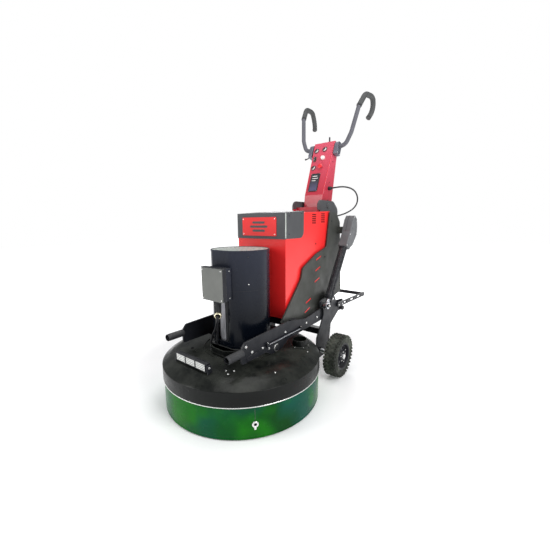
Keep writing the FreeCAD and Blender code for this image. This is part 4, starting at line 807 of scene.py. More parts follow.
def make_shroud():
    plan = shroud_plan()
    levels = [SHROUD_LOW, *WINDOW_Z, SHROUD_SEAM, SHROUD_SEAM + 1.2, SHROUD_TOP]
    bm = bmesh.new()
    rows = [[bm.verts.new(mm(x, y, z)) for x, y in plan] for z in levels]
    for low, high, z_low in zip(rows, rows[1:], levels):
        for i in range(len(plan)):
            j = (i + 1) % len(plan)
            middle = (plan[i][0] + plan[j][0]) / 2
            in_front = max(plan[i][1], plan[j][1]) < -100
            if z_low == WINDOW_Z[0] and in_front and WINDOW_X[0] < middle < WINDOW_X[1]:
                continue
            bm.faces.new([low[i], low[j], high[j], high[i]])
    shroud = piece("shroud_sheet", bm, "shroud", "grinding_head", replaces=["motor_shroud"])
    shell = shroud.modifiers.new("wall", "SOLIDIFY")
    shell.thickness, shell.offset = SHROUD_WALL * MM, -1
    soft_edges(shroud, 0.0008)
    bands, around_shroud = bmesh.new(), shroud_plan(-0.5)
    for z in (SHROUD_SEAM, 312):
        skin(((around_shroud, z), (around_shroud, z + 1.4)), stand(), bands)
    piece("shroud_bands", bands, "plate", "grinding_head")
    bright, dark = [], []
    for z in SCREW_LEVELS:
        for turn in SCREW_TURNS:
            out = Vector((*around(1, 1.0, turn)[0], 0))
            screw = (mm(SHROUD_R * out.x, SHROUD_R * out.y, z), out, 3.2)
            (bright if (z, turn) == BRIGHT_SCREW else dark).append(screw)
    fasteners("shroud_screws", "grinding_head", screws=bright)
    fasteners("shroud_dark_screws", "grinding_head", screws=dark, look="plate")


def make_grille():
    carried("grille", 0.0, "shroud_grille")
    outer, inner = shroud_plan(-1.2), shroud_plan(6)
    edge, _ = skin(((outer, 773), (outer, 782), (inner, 782), (inner, 779)), stand())
    soft_edges(piece("grille_rim", edge, "shroud", "grinding_head"), 0.0006)
    hub = lathe([(0, 776), (16, 776), (20, 770), (20, 745), (0, 745)], stand(), 32)
    piece("fan_hub", hub, "dark", "rotor")


BOX_FRONT = -193


def make_terminal_box():
    carried("shroud", 0.0012, "junction_box")
    lid = prism(panel((-73, 545), (73, 705), 7, 6), 4, stand(0, BOX_FRONT) @ ON_FRONT)
    piece("terminal_lid", lid, "grey", "grinding_head", 0.0014, 3, replaces=["junction_lid"])
    lip = cuboids(((-75, BOX_FRONT - 5, 703), (75, BOX_FRONT + 24, 706.5)),
                ((72, BOX_FRONT - 2, 548), (75, BOX_FRONT + 20, 703)))
    piece("terminal_lip", lip, "plate", "grinding_head", 0.0008)
    front = spots(-Y, 3.4, *((x, BOX_FRONT - 4, z) for x in (-64, 64) for z in (555, 694)))
    side = spots(X, 3.0, *((70, y, z) for y in (-180, -150) for z in (560, 690)))
    fasteners("terminal_screws", "grinding_head", screws=front + side)
    plug = [(0, 4), (9, 4), (11, 2.5), (11, -1), (0, -1)]
    plugs = lathes(*((plug, facing(-X, -70, -165, z), 24) for z in (590, 650)))
    piece("terminal_plugs", plugs, "dark", "grinding_head")


GLAND = Vector((4, -168, 470))
GLAND_AXIS = Vector((0.60, -0.74, -0.22)).normalized()


def ribbed(low, pitch, count, root, crest):
    """Profile of a ribbed hose: (radius, height) points of each rib."""
    made = []
    for i in range(count):
        at = low + pitch * i
        made += [(root, at), (crest, at + 1.2), (crest, at + 3.2), (root, at + 4.4)]
    return made


def make_gland():
    hose = ribbed(486, 5.0, 11, 10.2, 12)
    conduit = lathes((ring(12, 14, 0, 3), stand(0, -165, 541), 24, True),
                     (hose, stand(0, -165), 24))
    piece("lead_conduit", conduit, "dark", "grinding_head", replaces=["cable_gland"])
    place = frame_on(GLAND_AXIS, mm(*GLAND))
    body = contour(5, (10.5, 4, 0), (10.5, 14, 3.4), (18.5, 14, 4.4), (18.5, 2, 3), (12, 0, 2),
                   (12, -10, 0))
    gland = lathes((body, place, 40), (ring(11, 16, -12, -3), place, 6, True))
    piece("brass_gland", gland, "brass", "grinding_head")
    seal = lathe([(6.2, 8), (10.6, 9), (10.6, 5), (0, 4)], place, 32)
    piece("gland_seal", seal, "cable", "grinding_head")
    bend = contour(5, (0, -165, 492, 0), (0, -163, 478, 10), (-3, -157, 476, 0))
    piece("gland_elbow", sweep(bend, 11), "dark", "grinding_head")


def make_motor_lead():
    path = contour(8, (*GLAND + GLAND_AXIS * 5, 0), (*GLAND + GLAND_AXIS * 22, 9),
                   (10, -184, 440, 22), (-14, -172, 400, 50), (-56, -158, 352, 50),
                   (-76, -152, 312, 60), (-76, -152, COVER_TOP, 0))
    twin = contour(8, (4, -150, 548, 0), (2, -150, 470, 60), (-26, -147, 410, 60),
                   (-38, -146, 350, 60), (-38, -146, 285, 0))
    leads = sweep(twin, 3.6, 14, sweep(path, 6, 18))
    piece("motor_leads", leads, "cable", "grinding_head", replaces=["motor_lead"])
    boot = lathe([(6, 22), (7.4, 20), (9, 6), (12, 3), (12, 0), (0, 0)],
                 stand(-76, -152, COVER_TOP), 28)
    piece("lead_boot", boot, "cable", "grinding_head")


def make_motor():
    carried("motor", 0.0006, "motor_housing")
    carried("steel", 0.0005, "motor_rotor")
    carried("cast", 0.0015, "drive_housing")
    stays = bmesh.new()
    for x, radius in ((-56, 7), (25, 10)):
        for wide, top, steps in ((radius, 545, 20), (radius + 4, 309, 6)):
            lathe(rod(wide, 301, top), stand(x, -124), steps,
                  bm=stays)
    piece("motor_stays", stays, "plate", "grinding_head")
    duct = cuboids(((-30, -126, 312), (8, -118, 547)))
    piece("motor_cable_duct", duct, "motor", "grinding_head", 0.003, 3)
    edge = lathe(rod(2.2, 302, 546), stand(46, -131), 14)
    piece("window_edge_rod", edge, "zinc", "grinding_head")
    plan = rounded([(-104, -100, 4), (-78, -158, 10), (-30, -186, 8), (50, -190, 8),
                    (104, -150, 10), (120, -100, 4)], steps=3)
    wall = rounded([(-80, -156, 4), (-30, -184, 6), (50, -188, 6), (102, -150, 4), (98, -145, 4),
                    (49, -182, 6), (-29, -178, 6), (-76, -151, 4)], steps=3)
    apron = prism(wall, 26, stand(0, 0, 277), prism(plan, 10, stand(0, 0, COVER_TOP)))
    piece("head_front_apron", apron, "cover", "grinding_head", 0.0012)


# ---------------------------------------------------------------- carrier and discs
def make_grinding_gear():
    carried("cast", 0.0015, "planet_carrier")
    section = contour(3, (100, 22, 0), (100, 27, 2), (124, 27, 2), (124, 22, 0))
    for index in "123":
        node, body = "grinding_disc_" + index, "disc_" + index
        carried("segment", 0.0008, node)
        low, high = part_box(node)
        centre = Vector(((low.x + high.x) / 2, (low.y + high.y) / 2, 0))
        rim = lathe(section, Matrix.Translation(centre), 64)
        piece("disc_rim_" + index, rim, "cast", body)
        bolts = [(centre + Vector((x, y, 22)) * MM, Z, 4) for x, y in around(6, 34)]
        fasteners("disc_bolts_" + index, body, screws=bolts)


# ---------------------------------------------------------------- chassis
CABINET_X, CABINET_BACK = 169, 638
VENT_COLUMNS, VENT_LOW, VENT_COUNT, VENT_PITCH = (425, 531), 905, 5, 12
VENT_LONG, VENT_HIGH = 44, 5.6
HOOD_X, HOOD_FRONT = 171.5, 158.5


def make_cabinet():
    carried("red", 0.0014, "cabinet")
    carried("dark", 0.002, "inverter")
    carried("hood", 0.0016, "hood")
    face = HOOD_FRONT - 1.2
    # painted highlight: a pale strip down the hood's right front corner
    strip = cuboids(((HOOD_X - 2.5, face, 830), (HOOD_X + 1.2, face + 6, 958)))
    piece("hood_corner_highlight", strip, "grille", "chassis", 0.001)
    hem = cuboids(((-HOOD_X - 1, face, 824.5), (HOOD_X + 1, HOOD_FRONT + 2, 828.5)))
    piece("hood_lower_hem", hem, "hood", "chassis", 0.001)
    plugs = lathes(*(([(0, 0.6), (3.6, 0.6), (5, 0)], facing(X * side, side * CABINET_X, 471, 785),
                      20) for side in (RIGHT, LEFT)))
    piece("cabinet_plugs", plugs, "hole", "chassis")
    backs = bmesh.new()
    for side, _ in SIDES:
        for column, y in enumerate(VENT_COLUMNS):
            for level in range(VENT_COUNT):
                z = VENT_LOW + VENT_PITCH * (level + column / 2)
                prism(panel((y, z), (y + VENT_LONG, z + VENT_HIGH), 2.6, 4), 1.0,
                      sideways(side * (CABINET_X - 0.1) - 0.5), backs)
    piece("vent_backs", backs, "hole", "chassis")
    foot = cuboids(((-92, 650, 972), (92, 654, 1012)),
                 *(((side * 88, 610, 972), (side * 92, 652, 1000)) for side, _ in SIDES))
    piece("console_foot_plate", foot, "console", "chassis", 0.001)
    screws = [(mm(side * HOOD_X, y, z), X * side, 3.2) for side, _ in SIDES
              for y, z in ((190, 850), (190, 945), (310, 960))]
    fasteners("hood_screws", "chassis", screws=screws, look="plate")


BADGE_X, BADGE_Z, BADGE_FRONT = (-130, 112), (840, 940), 155.5


def make_badge():
    place = stand(0, BADGE_FRONT + 3) @ ON_FRONT
    (x0, x1), (z0, z1) = BADGE_X, BADGE_Z
    piece("badge_sheet", prism(panel((x0, z0), (x1, z1), 5), 3, place), "red", "chassis", 0.0008,
          replaces=["badge_plate"])
    bars = bmesh.new()
    middle, rise = (x0 + x1) / 2, (z0 + z1) / 2
    for step, half in ((-22, 44), (0, 62), (22, 44)):
        z = rise + step
        prism(panel((middle - half, z - 6), (middle + half, z + 6), 6), 4.2, place, bars)
    piece("badge_bars", bars, "hood", "chassis", 0.0006)
    corners = [(x, BADGE_FRONT, z) for x in (x0 + 9, x1 - 9) for z in (z0 + 9, z1 - 9)]
    fasteners("badge_screws", "chassis", screws=spots(-Y, 3.4, *corners))


RED_SLOTS = ((483, 698), (477, 633), (470, 566), (372, 456), (362, 403))


def make_plates():
    for side, word in SIDES:
        carried("side", 0.0014, "side_plate_" + word)
        backs = bmesh.new()
        for y, z in RED_SLOTS:
            outline = [(y - 30, z - 15.9), (y + 30, z + 3.9), (y + 30, z + 15.9), (y - 30, z - 3.9)]
            prism(outline, 1.2, sideways(side * 181.6 - 0.6), backs)
        piece("slot_backs_" + word, backs, "red", "chassis")
        carried("plate", 0.0014, "arm_plate_" + word, "wheel_plate_" + word)
        carried("hood", 0.0018, "mast_plate_" + word)
    carried("plate", 0.0012, "front_beam", "rear_beam", "tow_bar", "carrier_beam")
    carried("steel", 0.0006, "axle")
    carried("dark", 0.001, "lock_knob")


ARM_OUT = 214
# distance out, thread, and the (y, z) of each bolt on either side
BRIGHT_BOLTS = ((ARM_OUT, 6, ((-200, 371), (-161, 334), (-87, 327), (-39, 308), (96, 352),
                              (300, 346), (420, 350), (640, 372))),
                (238, 5, ((668, 374), (720, 373))))
DARK_BOLTS = ((184, 5, ((118, 401), (140, 366), (600, 420), (560, 700), (640, 920), (690, 560))),
              (100, 5, ((660, 760), (700, 940), (800, 820))))
LIFT_BOLTS = ((232, 8, ((585, 432),)),)


def make_chassis_bolts():
    for name, look, rows in (("chassis_bolts", "zinc", BRIGHT_BOLTS),
                             ("plate_bolts", "plate", DARK_BOLTS),
                             ("lift_pivot_bolts", "zinc", LIFT_BOLTS)):
        bolts = [(mm(side * out, y, z), X * side, size)
                 for side, _ in SIDES for out, size, points in rows for y, z in points]
        fasteners(name, "chassis", bolts=bolts, look=look)


PIVOT = (19, 294)
ROD_Z, ROD_ENDS = 334, (-57, 235)


def make_arm_details():
    stiffener = rounded([(-196, 300, 6), (-60, 300, 10), (-30, 318, 10), (-60, 330, 10),
                         (-150, 322, 10), (-196, 322, 6)], steps=4)
    section = contour(4, (15, 0, 0), (15, 4, 1), (20, 4, 1.5), (20, 0, 0))
    ribs = [(16, 0), *ribbed(6, 5.6, 14, 17.2, 18.0), (17.2, 92), (16, 94), (13.2, 94),
            (13.2, 70)]
    for side, word in SIDES:
        out, face = X * side, side * ARM_OUT
        place = facing(out, face, *PIVOT)
        open_ring = lathe(section, place, 40, True, math.radians(55), math.radians(250))
        piece("pivot_ring_" + word, open_ring, "zinc", "chassis")
        cap = lathe([(0, 9.5), (8, 9.5), (12, 8.8), (13.6, 7.6), (13.6, 0)], place, 36)
        piece("pivot_pin_" + word, cap, "plate", "grinding_head")
        x = side * (ARM_OUT + 8)
        bar = sweep([(x, y, ROD_Z) for y in ROD_ENDS], 4.2, 18)
        piece("arm_rod_" + word, bar, "chrome", "chassis", 0.0006)
        ends = cuboids(*(((face, y - 9, ROD_Z - 10), (side * (ARM_OUT + 14), y + 9, ROD_Z + 10))
                       for y in ROD_ENDS))
        piece("arm_rod_ends_" + word, ends, "plate", "chassis", 0.002, 3)
        nuts = spots(Z, 3.4, *((x, y, ROD_Z + 10) for y in ROD_ENDS))
        fasteners("arm_rod_bolts_" + word, "chassis", screws=nuts)
        plate = prism(stiffener, 3, sideways(min(face, face + 3 * side)))
        piece("arm_stiffener_" + word, plate, "plate", "chassis", 0.0008)
        sleeve = lathe(ribs, facing(-Y, side * 212, -222, 349), 32)
        piece("lift_handle_sleeve_" + word, sleeve, "dark", "chassis")


DOOR_SKIN = CABINET_BACK + 3
HINGE_LEVELS = (450, 650)
FAN_Z, GUARD_RINGS = 550, (14, 26, 38, 50, 62)


def make_cabinet_back():
    """Service door with hinges and latches, a fan outlet and an inlet socket."""
    door = prism(panel((-150, 410), (150, 690), 8), 3, stand(0, CABINET_BACK) @ ON_BACK)
    piece("service_door", door, "red", "chassis", 0.001)
    hinges, latches = bmesh.new(), bmesh.new()
    for z in HINGE_LEVELS:
        cuboids(((-168, CABINET_BACK, z - 20), (-134, CABINET_BACK + 4.5, z + 20)), bm=hinges)
        lathe(rod(4.5, -22, 22), stand(-151, CABINET_BACK + 5, z), 16,
              bm=hinges)
        lathe([(0, 7), (8, 7), (10, 5), (13, 4), (13, 0)], facing(Y, 128, DOOR_SKIN, z), 28,
              bm=latches)
        cuboids(((126.6, DOOR_SKIN + 6, z - 7), (129.4, DOOR_SKIN + 9, z + 7)), bm=latches)
    piece("door_hinges", hinges, "plate", "chassis", 0.0007)
    piece("door_latches", latches, "zinc", "chassis", 0.0004)
    centre = facing(Y, 0, DOOR_SKIN, FAN_Z)
    guard = lathes(*(([(r - 1.3, 6), (r, 7.3), (r + 1.3, 6), (r, 4.7)], centre, 48, True)
                     for r in GUARD_RINGS))
    for angle in (45, 135, 225, 315):
        block(guard, (66, 2.6, 2.6), centre @ turned(angle) @ shift(33, 0, 6))
    piece("fan_guard", guard, "zinc", "chassis")
    piece("fan_opening", lathe([(0, 0.8), (66, 0.8), (66, 0)], centre, 48), "hole", "chassis")
    corners = [(x, DOOR_SKIN, FAN_Z + z) for x in (-56, 56) for z in (-56, 56)]
    fasteners("fan_screws", "chassis", screws=spots(Y, 3, *corners))
    body = contour(4, (0, 34, 0), (17, 34, 0), (17, 40, 1), (23, 40, 2), (24, 8, 2), (30, 4, 2),
                   (30, 0, 0))
    inlet = lathe(body, facing((0, 1, -0.35), -128, CABINET_BACK - 2, 760), 40)
    piece("power_inlet", inlet, "grey", "chassis")
    place = facing(Y, 130, CABINET_BACK, 936)
    nut = lathes((rod(13, 0, 5), place, 6),
                 ([(12, 4), (12, 9), (9, 12.5), (5.3, 12.8), (5.3, 4)], place, 28))
    piece("cord_entry", nut, "dark", "chassis")


# ---------------------------------------------------------------- lift actuator
FOOT = Vector((254, 464, 418))
ALONG = Vector((0, 0.525, 0.851)).normalized()
ACROSS = Vector((0, ALONG.z, -ALONG.y))
HEAD_PIN, CASE_START = 520, 392
CASE_SIDE, CASE_WIDE = -26, 60
GEAR_CASE = ((-30, CASE_START, 5), (26, CASE_START, 5), (30, 404, 5), (30, 500, 5), (-30, 500, 5))
MOTOR_CAN = ((6, 408, 5), (26, 408, 6), (52, 440, 14), (66, 530, 16), (40, 576, 14), (10, 610, 8),
             (-34, 610, 8), (-42, 572, 14), (-32, 500, 12), (-10, 430, 12))
CAN_SCREWS = ((-23, 400), (22, 402), (-22, 478), (44, 446), (54, 530), (-30, 596), (14, 596))
BARREL_RIBS, BARREL_R, BARREL_MIDDLE, BARREL_LONG = 12, 23, 222, 312


def on_actuator(x, across, along):
    """Head-centred mm; across points to the rear and down."""
    return FOOT + ALONG * along + ACROSS * across + X * x


def actuator_frame(along):
    return stand(*on_actuator(0, 0, along)) @ basis(X, ACROSS, ALONG)


def actuator_prism(outline, x, wide):
    """Outline of (across, along, radius) corners, pushed along X from x."""
    place = stand(*on_actuator(x, 0, 0)) @ basis(ACROSS, ALONG, X)
    return prism(rounded(outline, steps=5), wide, place)


def make_actuator():
    body = "actuator_body"
    section = contour(3, (12.1, 46, 0), (25, 46, 2), (25, 64, 1.5), (23, 66, 1), (23, 380, 0),
                      (26, 384, 2), (26, 393, 0))
    tube = lathe(section, actuator_frame(0), 48)
    for i in range(BARREL_RIBS):
        turn = actuator_frame(BARREL_MIDDLE) @ turned(360 / BARREL_RIBS * i)
        block(tube, (2.4, 7.5, BARREL_LONG), turn @ shift(BARREL_R, 0, 0))
    piece("actuator_barrel", tube, "plate", body, replaces=["actuator_tube"])
    case = actuator_prism(GEAR_CASE, CASE_SIDE + 2, CASE_WIDE - 4)
    lathe(rod(26, 0, 6), actuator_frame(CASE_START - 4), 36, bm=case)
    piece("actuator_gear_case", case, "drive", body, 0.0024, replaces=["actuator_motor"])
    can = actuator_prism(MOTOR_CAN, CASE_SIDE, CASE_WIDE)
    piece("actuator_motor_can", can, "drive", body, 0.0024)
    larger = [(a * 1.012, b + 1.0, r) for a, b, r in MOTOR_CAN]
    piece("actuator_case_seam", actuator_prism(larger, CASE_SIDE + 24, 3), "dark", body, 0.0008)
    near, far = (facing(X, *on_actuator(x, 0, HEAD_PIN))
                 for x in (CASE_SIDE, CASE_SIDE + CASE_WIDE))
    bosses = lathes((ring(10.1, 19, -3, 2), near, 36, True),
                    ([(0, 0), (18, 0), (18, 2.4), (15, 3.2), (0, 3.2)], far, 36))
    piece("actuator_bosses", bosses, "drive", body)
    points = [on_actuator(CASE_SIDE + CASE_WIDE, *at) for at in CAN_SCREWS]
    fasteners("actuator_screws", body, screws=spots(X, 3.4, *points))
    carried("chrome", 0.001, "actuator_rod")
    fasteners("actuator_foot_bolt", "wheel_carrier", bolts=spots(X, 7, FOOT + X * 19))


# ---------------------------------------------------------------- wheels
TYRE_R, WHEEL_IN, WHEEL_WIDE = 127, 301, 80
WHEEL_Y, WHEEL_Z = 461, 127
TREAD_COUNT, SPOKES = 34, 5
# row across the tread, pitch offset, (long, wide, deep), twist, inset, lean of each lug
TREAD = ((-1, 0.0, (18, 9.4, 6.2), 24, 2.4, -14), (1, 0.5, (18, 9.4, 6.2), -24, 2.4, 14),
         (-0.36, 0.55, (17, 8.2, 6.0), -36, 0.9, 0), (0.36, 0.05, (17, 8.2, 6.0), 36, 0.9, 0))
TYRE_SECTION = ((78, 4, 0), (84, 4, 2), (108, 3, 8), (118.5, 9, 8), (122.4, 20, 12),
                (123.4, 40, 60), (122.4, 60, 12), (118.5, 71, 8), (108, 77, 8), (84, 76, 2),
                (78, 76, 0))
RIM_SECTION = ((16, 74, 0), (24, 74, 3), (30, 66, 6), (34, 55, 8), (62, 52, 8), (68, 60, 5),
               (70, 74, 3), (79, 77, 2), (80, 72, 1), (76, 66, 1), (76, 14, 1), (80, 8, 1),
               (79, 3, 2), (70, 6, 3), (66, 40, 6), (34, 46, 4), (30, 6, 3), (16, 3, 0))


def make_wheel(side, word):
    """Wheel drawn outwards from its inner face; Z of the placement is the axle."""
    body, out = "wheel_" + word, X * side
    place = facing(out, side * WHEEL_IN, WHEEL_Y, WHEEL_Z)
    carcass = lathe(contour(4, *TYRE_SECTION), place, 96, True)
    for radius, depth in ((90, 3.0), (97, 2.6)):
        for edge, sign in ((WHEEL_WIDE - 3.6, 1), (3.6, -1)):
            bead = [(radius, edge), (radius + 1, edge + 1.4 * sign), (radius + depth, edge)]
            lathe(bead, place, 96, True, bm=carcass)
    piece("tyre_carcass_" + word, carcass, "tyre", body, replaces=["tyre_" + word])
    lugs = bmesh.new()
    pitch = 360 / TREAD_COUNT
    for i in range(TREAD_COUNT):
        for row, offset, (long, wide, deep), twist, inset, lean in TREAD:
            at = shift(TYRE_R - deep / 2 - inset, 0, 40 + row * 27.5)
            block(lugs, (deep, wide * 1.25, long), place @ turned(pitch * (i + offset)) @ at
                  @ turned(lean, "Y") @ turned(twist, "X"))
        for sign, edge, offset in ((1, 75.5, 0.5), (-1, 4.5, 0)):
            block(lugs, (11, 10, 3.4), place @ turned(pitch * (i + offset))
                  @ shift(113.5, 0, edge) @ turned(-52 * sign, "Y"))
    piece("tyre_lugs_" + word, lugs, "tyre", body, 0.0009, 1)
    rim = lathe(contour(4, *RIM_SECTION), place, 72, True)
    for i in range(SPOKES):
        block(rim, (40, 13, 9), place @ turned(90 + 360 / SPOKES * i) @ shift(48, 0, 56))
    piece("rim_" + word, rim, "plate", body, 0.001, replaces=["hub_" + word])
    bolts = [(place @ (Vector((x, y, z)) * MM), out, size)
             for radius, z, size in ((26.5, 71, 4), (60, 60.5, 3.6))
             for x, y in around(SPOKES, radius, 90)]
    openings = lathes(*(([(0, 0.5), (9.5, 0.5), (10.5, 0)],
                         frame_on(out, place @ (Vector((x, y, 53.6)) * MM)), 24)
                        for x, y in around(SPOKES, 49, 90 + 180 / SPOKES)))
    piece("rim_openings_" + word, openings, "hole", body)
    fasteners("rim_bolts_" + word, body, bolts=bolts)
    cap = lathe([(0, 82.5), (9, 82), (13, 80), (14.5, 76), (14.5, 72), (20, 72), (20, 74),
                 (22, 74)], place, 32)
    piece("axle_cap_" + word, cap, "zinc", body)


# ---------------------------------------------------------------- console
CREASE = Vector((0, 722, 1095))
FACE_UP = Vector((0, 144, 367)).normalized()
FACE_OUT = Vector((0, -FACE_UP.z, FACE_UP.y))
CONSOLE_CORNERS = ((706, 1000, 6), (840, 996, 14), (852, 1040, 40), (896, 1330, 60),
                   (916, 1432, 14), (906, 1456, 8), (866, 1462, 8), (722, 1095, 10))
CONSOLE_LOW, CONSOLE_HIGH = (990, 69), (1470, 80)
SIDE_SCREWS = ((1060, 790), (1180, 806), (1320, 842), (1430, 884))


def face_frame(x=0.0, up=0.0, out=0.0):
    """Frame on the control face: X across, Y up along it, Z out of it."""
    at = CREASE + FACE_UP * up + FACE_OUT * out + X * x
    return stand(*at) @ basis(X, FACE_UP, FACE_OUT)


def console_half_width(z):
    (low_z, low), (high_z, high) = CONSOLE_LOW, CONSOLE_HIGH
    return low + (high - low) * (z - low_z) / (high_z - low_z)


def make_console_shell():
    """Folded sheet case: a rounded outline swept across, narrower at its foot."""
    outline = rounded(CONSOLE_CORNERS, steps=6)
    case = bmesh.new()
    left, right = [[case.verts.new(mm(side * console_half_width(p.y), p.x, p.y))
                    for p in outline] for side, _ in SIDES]
    for i in range(len(outline)):
        j = (i + 1) % len(outline)
        case.faces.new([left[i], left[j], right[j], right[i]])
    case.faces.new(left[::-1])
    case.faces.new(right)
    piece("console_case", case, "console", "console", 0.0045, 4, replaces=["console_shell"])
    pin, seam, screws = bmesh.new(), bmesh.new(), []
    (x0, u0), (x1, u1) = ((console_half_width(CREASE.z + rise) - 4.6, up)
                          for rise, up in ((0, 10), (367, 390)))
    for side, _ in SIDES:
        place = facing(X * side, side * 67, 745, 1020)
        lathe(rod(12, 0, 39), place, 32, bm=pin)
        lathe([(12.2, 33.4), (17, 33.4), (18, 36), (17, 38.6), (0, 38.6)], place, 32, bm=pin)
        corners = [(side * x0 - 0.9, u0), (side * x0 + 0.9, u0), (side * x1 + 0.9, u1),
                   (side * x1 - 0.9, u1)]
        prism(corners, 0.5, face_frame(), seam)
        screws += spots(X * side, 3.2, *((side * console_half_width(z), y, z)
                                         for z, y in SIDE_SCREWS))
    piece("fold_pin", pin, "hood", "console")
    # painted highlights: bright red lines along both edges of the control face
    piece("console_face_edge_highlights", seam, "stop", "console")
    fasteners("console_screws", "console", screws=screws, look="plate")
    slope = Matrix.Rotation(-math.atan2(44, 290), 4, "X")
    back = prism(panel((-52, 0), (52, 190), 10), 1.6, stand(0, 859, 1085) @ slope @ ON_BACK)
    piece("console_service_plate", back, "console", "console", 0.0006)


DISPLAY_X, DISPLAY_UP = -15, 26
DISPLAY_HALF, DISPLAY_TALL, DISPLAY_EDGE = 34, 132, 5


def make_display():
    half, tall, edge = DISPLAY_HALF, DISPLAY_TALL, DISPLAY_EDGE
    place = face_frame(DISPLAY_X, DISPLAY_UP)
    outer = panel((-half, 0), (half, tall), 5)
    inner = panel((-half + edge, edge), (half - edge, tall - edge), 2)
    bezel, _ = skin(((outer, 0), (outer, 4.0), (inner, 4.0), (inner, 2.6)), place)
    piece("display_bezel", bezel, "dark", "console", replaces=["display_panel"])
    piece("display_screen", prism(inner, 2.7, place), "glass", "console")
    marks = bmesh.new()
    for low, long, high in ((110, 36, 5), (94, 44, 4), (78, 30, 4)):
        prism(panel((-22, low), (long - 22, low + high)), 3.0, place, marks)
    piece("display_bars", marks, "white", "console")
    corners = [(place @ (Vector((x, y, 4.0)) * MM), FACE_OUT, 2.0)
               for x in (2.7 - half, half - 2.7) for y in (2.7, tall - 2.7)]
    fasteners("display_screws", "console", screws=corners)


SWITCHES = (("1", -51, 334), ("2", 12, 338), ("3", -48, 204))
DIAL_AT, STOP_AT, START_AT = (13, 272), (8, 208), (-50, 269)
KNOB_RIDGES = 18


def make_selectors():
    section = contour(4, (13, 0, 0), (13, 3, 1), (11.6, 5.6, 1), (10.8, 7, 1), (0, 7, 0))
    bezel = [(18, 0), (18, 1.2), (16.4, 2.2), (13.4, 2.2), (13.4, 0)]
    for index, x, up in SWITCHES:
        body, base = "selector_" + index, face_frame(x, up, 1)
        piece("selector_cap_" + index, lathe(section, base, 40), "knob", body, 0.0008,
              replaces=["rotary_switch_" + index])
        turn = base @ turned(-40)
        piece("selector_grip_" + index, prism(oblong(3.5, 11, 3.4), 15, turn), "dark", body,
              0.0008)
        piece("selector_mark_" + index, prism(panel((-0.6, 2), (0.6, 10)), 15.3, turn), "stop",
              body)
        piece("selector_bezel_" + index, lathe(bezel, face_frame(x, up), 44), "dark", "console")


def make_controls():
    make_selectors()
    base = face_frame(*DIAL_AT, 1)
    section = contour(4, (14, 0, 0), (14, 2, 0.8), (12.6, 12.2, 1), (11.8, 14, 1.4), (0, 14, 0))
    knob = lathe(section, base, 40)
    for i in range(KNOB_RIDGES):
        block(knob, (1.2, 1.5, 9), base @ turned(360 / KNOB_RIDGES * i) @ shift(13.1, 0, 6.5))
    piece("speed_knob_cap", knob, "white", "dial", replaces=["speed_knob"])
    pointer = prism(panel((-0.8, 3), (0.8, 11.5)), 14.4, base)
    piece("speed_knob_mark", pointer, "stop", "dial")
    scale = bmesh.new()
    for angle in range(-135, 136, 27):
        prism(panel((-0.5, 17), (0.5, 20.5)), 0.4, face_frame(*DIAL_AT) @ turned(angle), scale)
    piece("speed_scale", scale, "white", "console")
    section = contour(5, (8, 0.2, 0), (15, 0.2, 0), (16, 2, 1), (16, 5, 1.5), (12, 8, 6),
                      (0, 8.4, 0))
    piece("stop_head", lathe(section, face_frame(*STOP_AT, 9)), "stop", "stop",
          replaces=["stop_button"])
    collar = lathe([(19, 0), (19, 0.8), (17, 1.4), (7.4, 1.4), (7.4, 6.8), (6, 6.8), (6, 0)],
                   face_frame(*STOP_AT))
    piece("stop_ring", collar, "console", "console")
    base = face_frame(*START_AT, 4)
    piece("start_cap", prism(oblong(8, 17, 7.6), 7, base), "dark", "start", 0.0016, 3,
          replaces=["start_button"])
    outer, inner = oblong(11, 20, 10), oblong(8.5, 17.5, 8)
    bezel, _ = skin(((outer, 0), (outer, 3.2), (inner, 3.2), (inner, 0.4)),
                    face_frame(*START_AT))
    piece("start_bezel", bezel, "grey", "console", 0.0008)
    marks = prism(panel((-0.9, 5), (0.9, 11)), 7.3, base)
    lathe([(2.6, 7), (2.6, 7.3), (3.9, 7.3), (3.9, 7)], base @ shift(0, -8, 0), 24, True,
          bm=marks)
    piece("start_marks", marks, "white", "start")


def make_aerial():
    mast = lathe([(9, 0), (9, 9), (7.5, 10.5), (5.2, 12), (5, 37), (3.6, 40), (0, 40)],
                 stand(26, 886, 1455), 24)
    piece("aerial", mast, "dark", "console")


BAR_Y, BAR_Z = 868, 1420
CLAMP_X, CLAMP_WIDE, CLAMP_TILT = 84, 28, -21
CLAMP_PLAN = ((-26, -62, 8), (26, -62, 8), (26, 30, 22), (-26, 30, 22))


def make_clamps():
    """Split clamp blocks with rounded edges, bolts and a slot."""
    plan = rounded(CLAMP_PLAN)
    for (side, word), size in zip(SIDES, (2.4, 4)):
        turn = stand(side * CLAMP_X, BAR_Y + 4, BAR_Z) @ turned(CLAMP_TILT, "X")
        clamp = prism(plan, side * CLAMP_WIDE, turn @ ON_SIDE)
        block(clamp, (13, 34, 50), turn @ shift(-side * 6, 0, -17))
        piece("clamp_block_" + word, clamp, "clamp", "console", 0.0028, 3,
              replaces=["bar_clamp_" + word])
        split = bmesh.new()
        block(split, (28.4, 2.2, 34), turn @ shift(side * 14, 0, -44.8))
        block(split, (0.9, 2.2, 36), turn @ shift(side * CLAMP_WIDE, 0, -44))
        piece("clamp_split_" + word, split, "hole", "console")
        bolts = [(turn @ (Vector((side * CLAMP_WIDE, across, -52)) * MM), X * side, size)
                 for across in (-14, 14)]
        fasteners("clamp_bolts_" + word, "console", screws=bolts)


LEVER_PIVOT = Vector((-117, 870, 1380))
LEVER_STEPS = ((0, -6, -3), (-2, -20, -11), (-4, -32, -18), (-5.4, -46, -23), (-6, -56, -26))


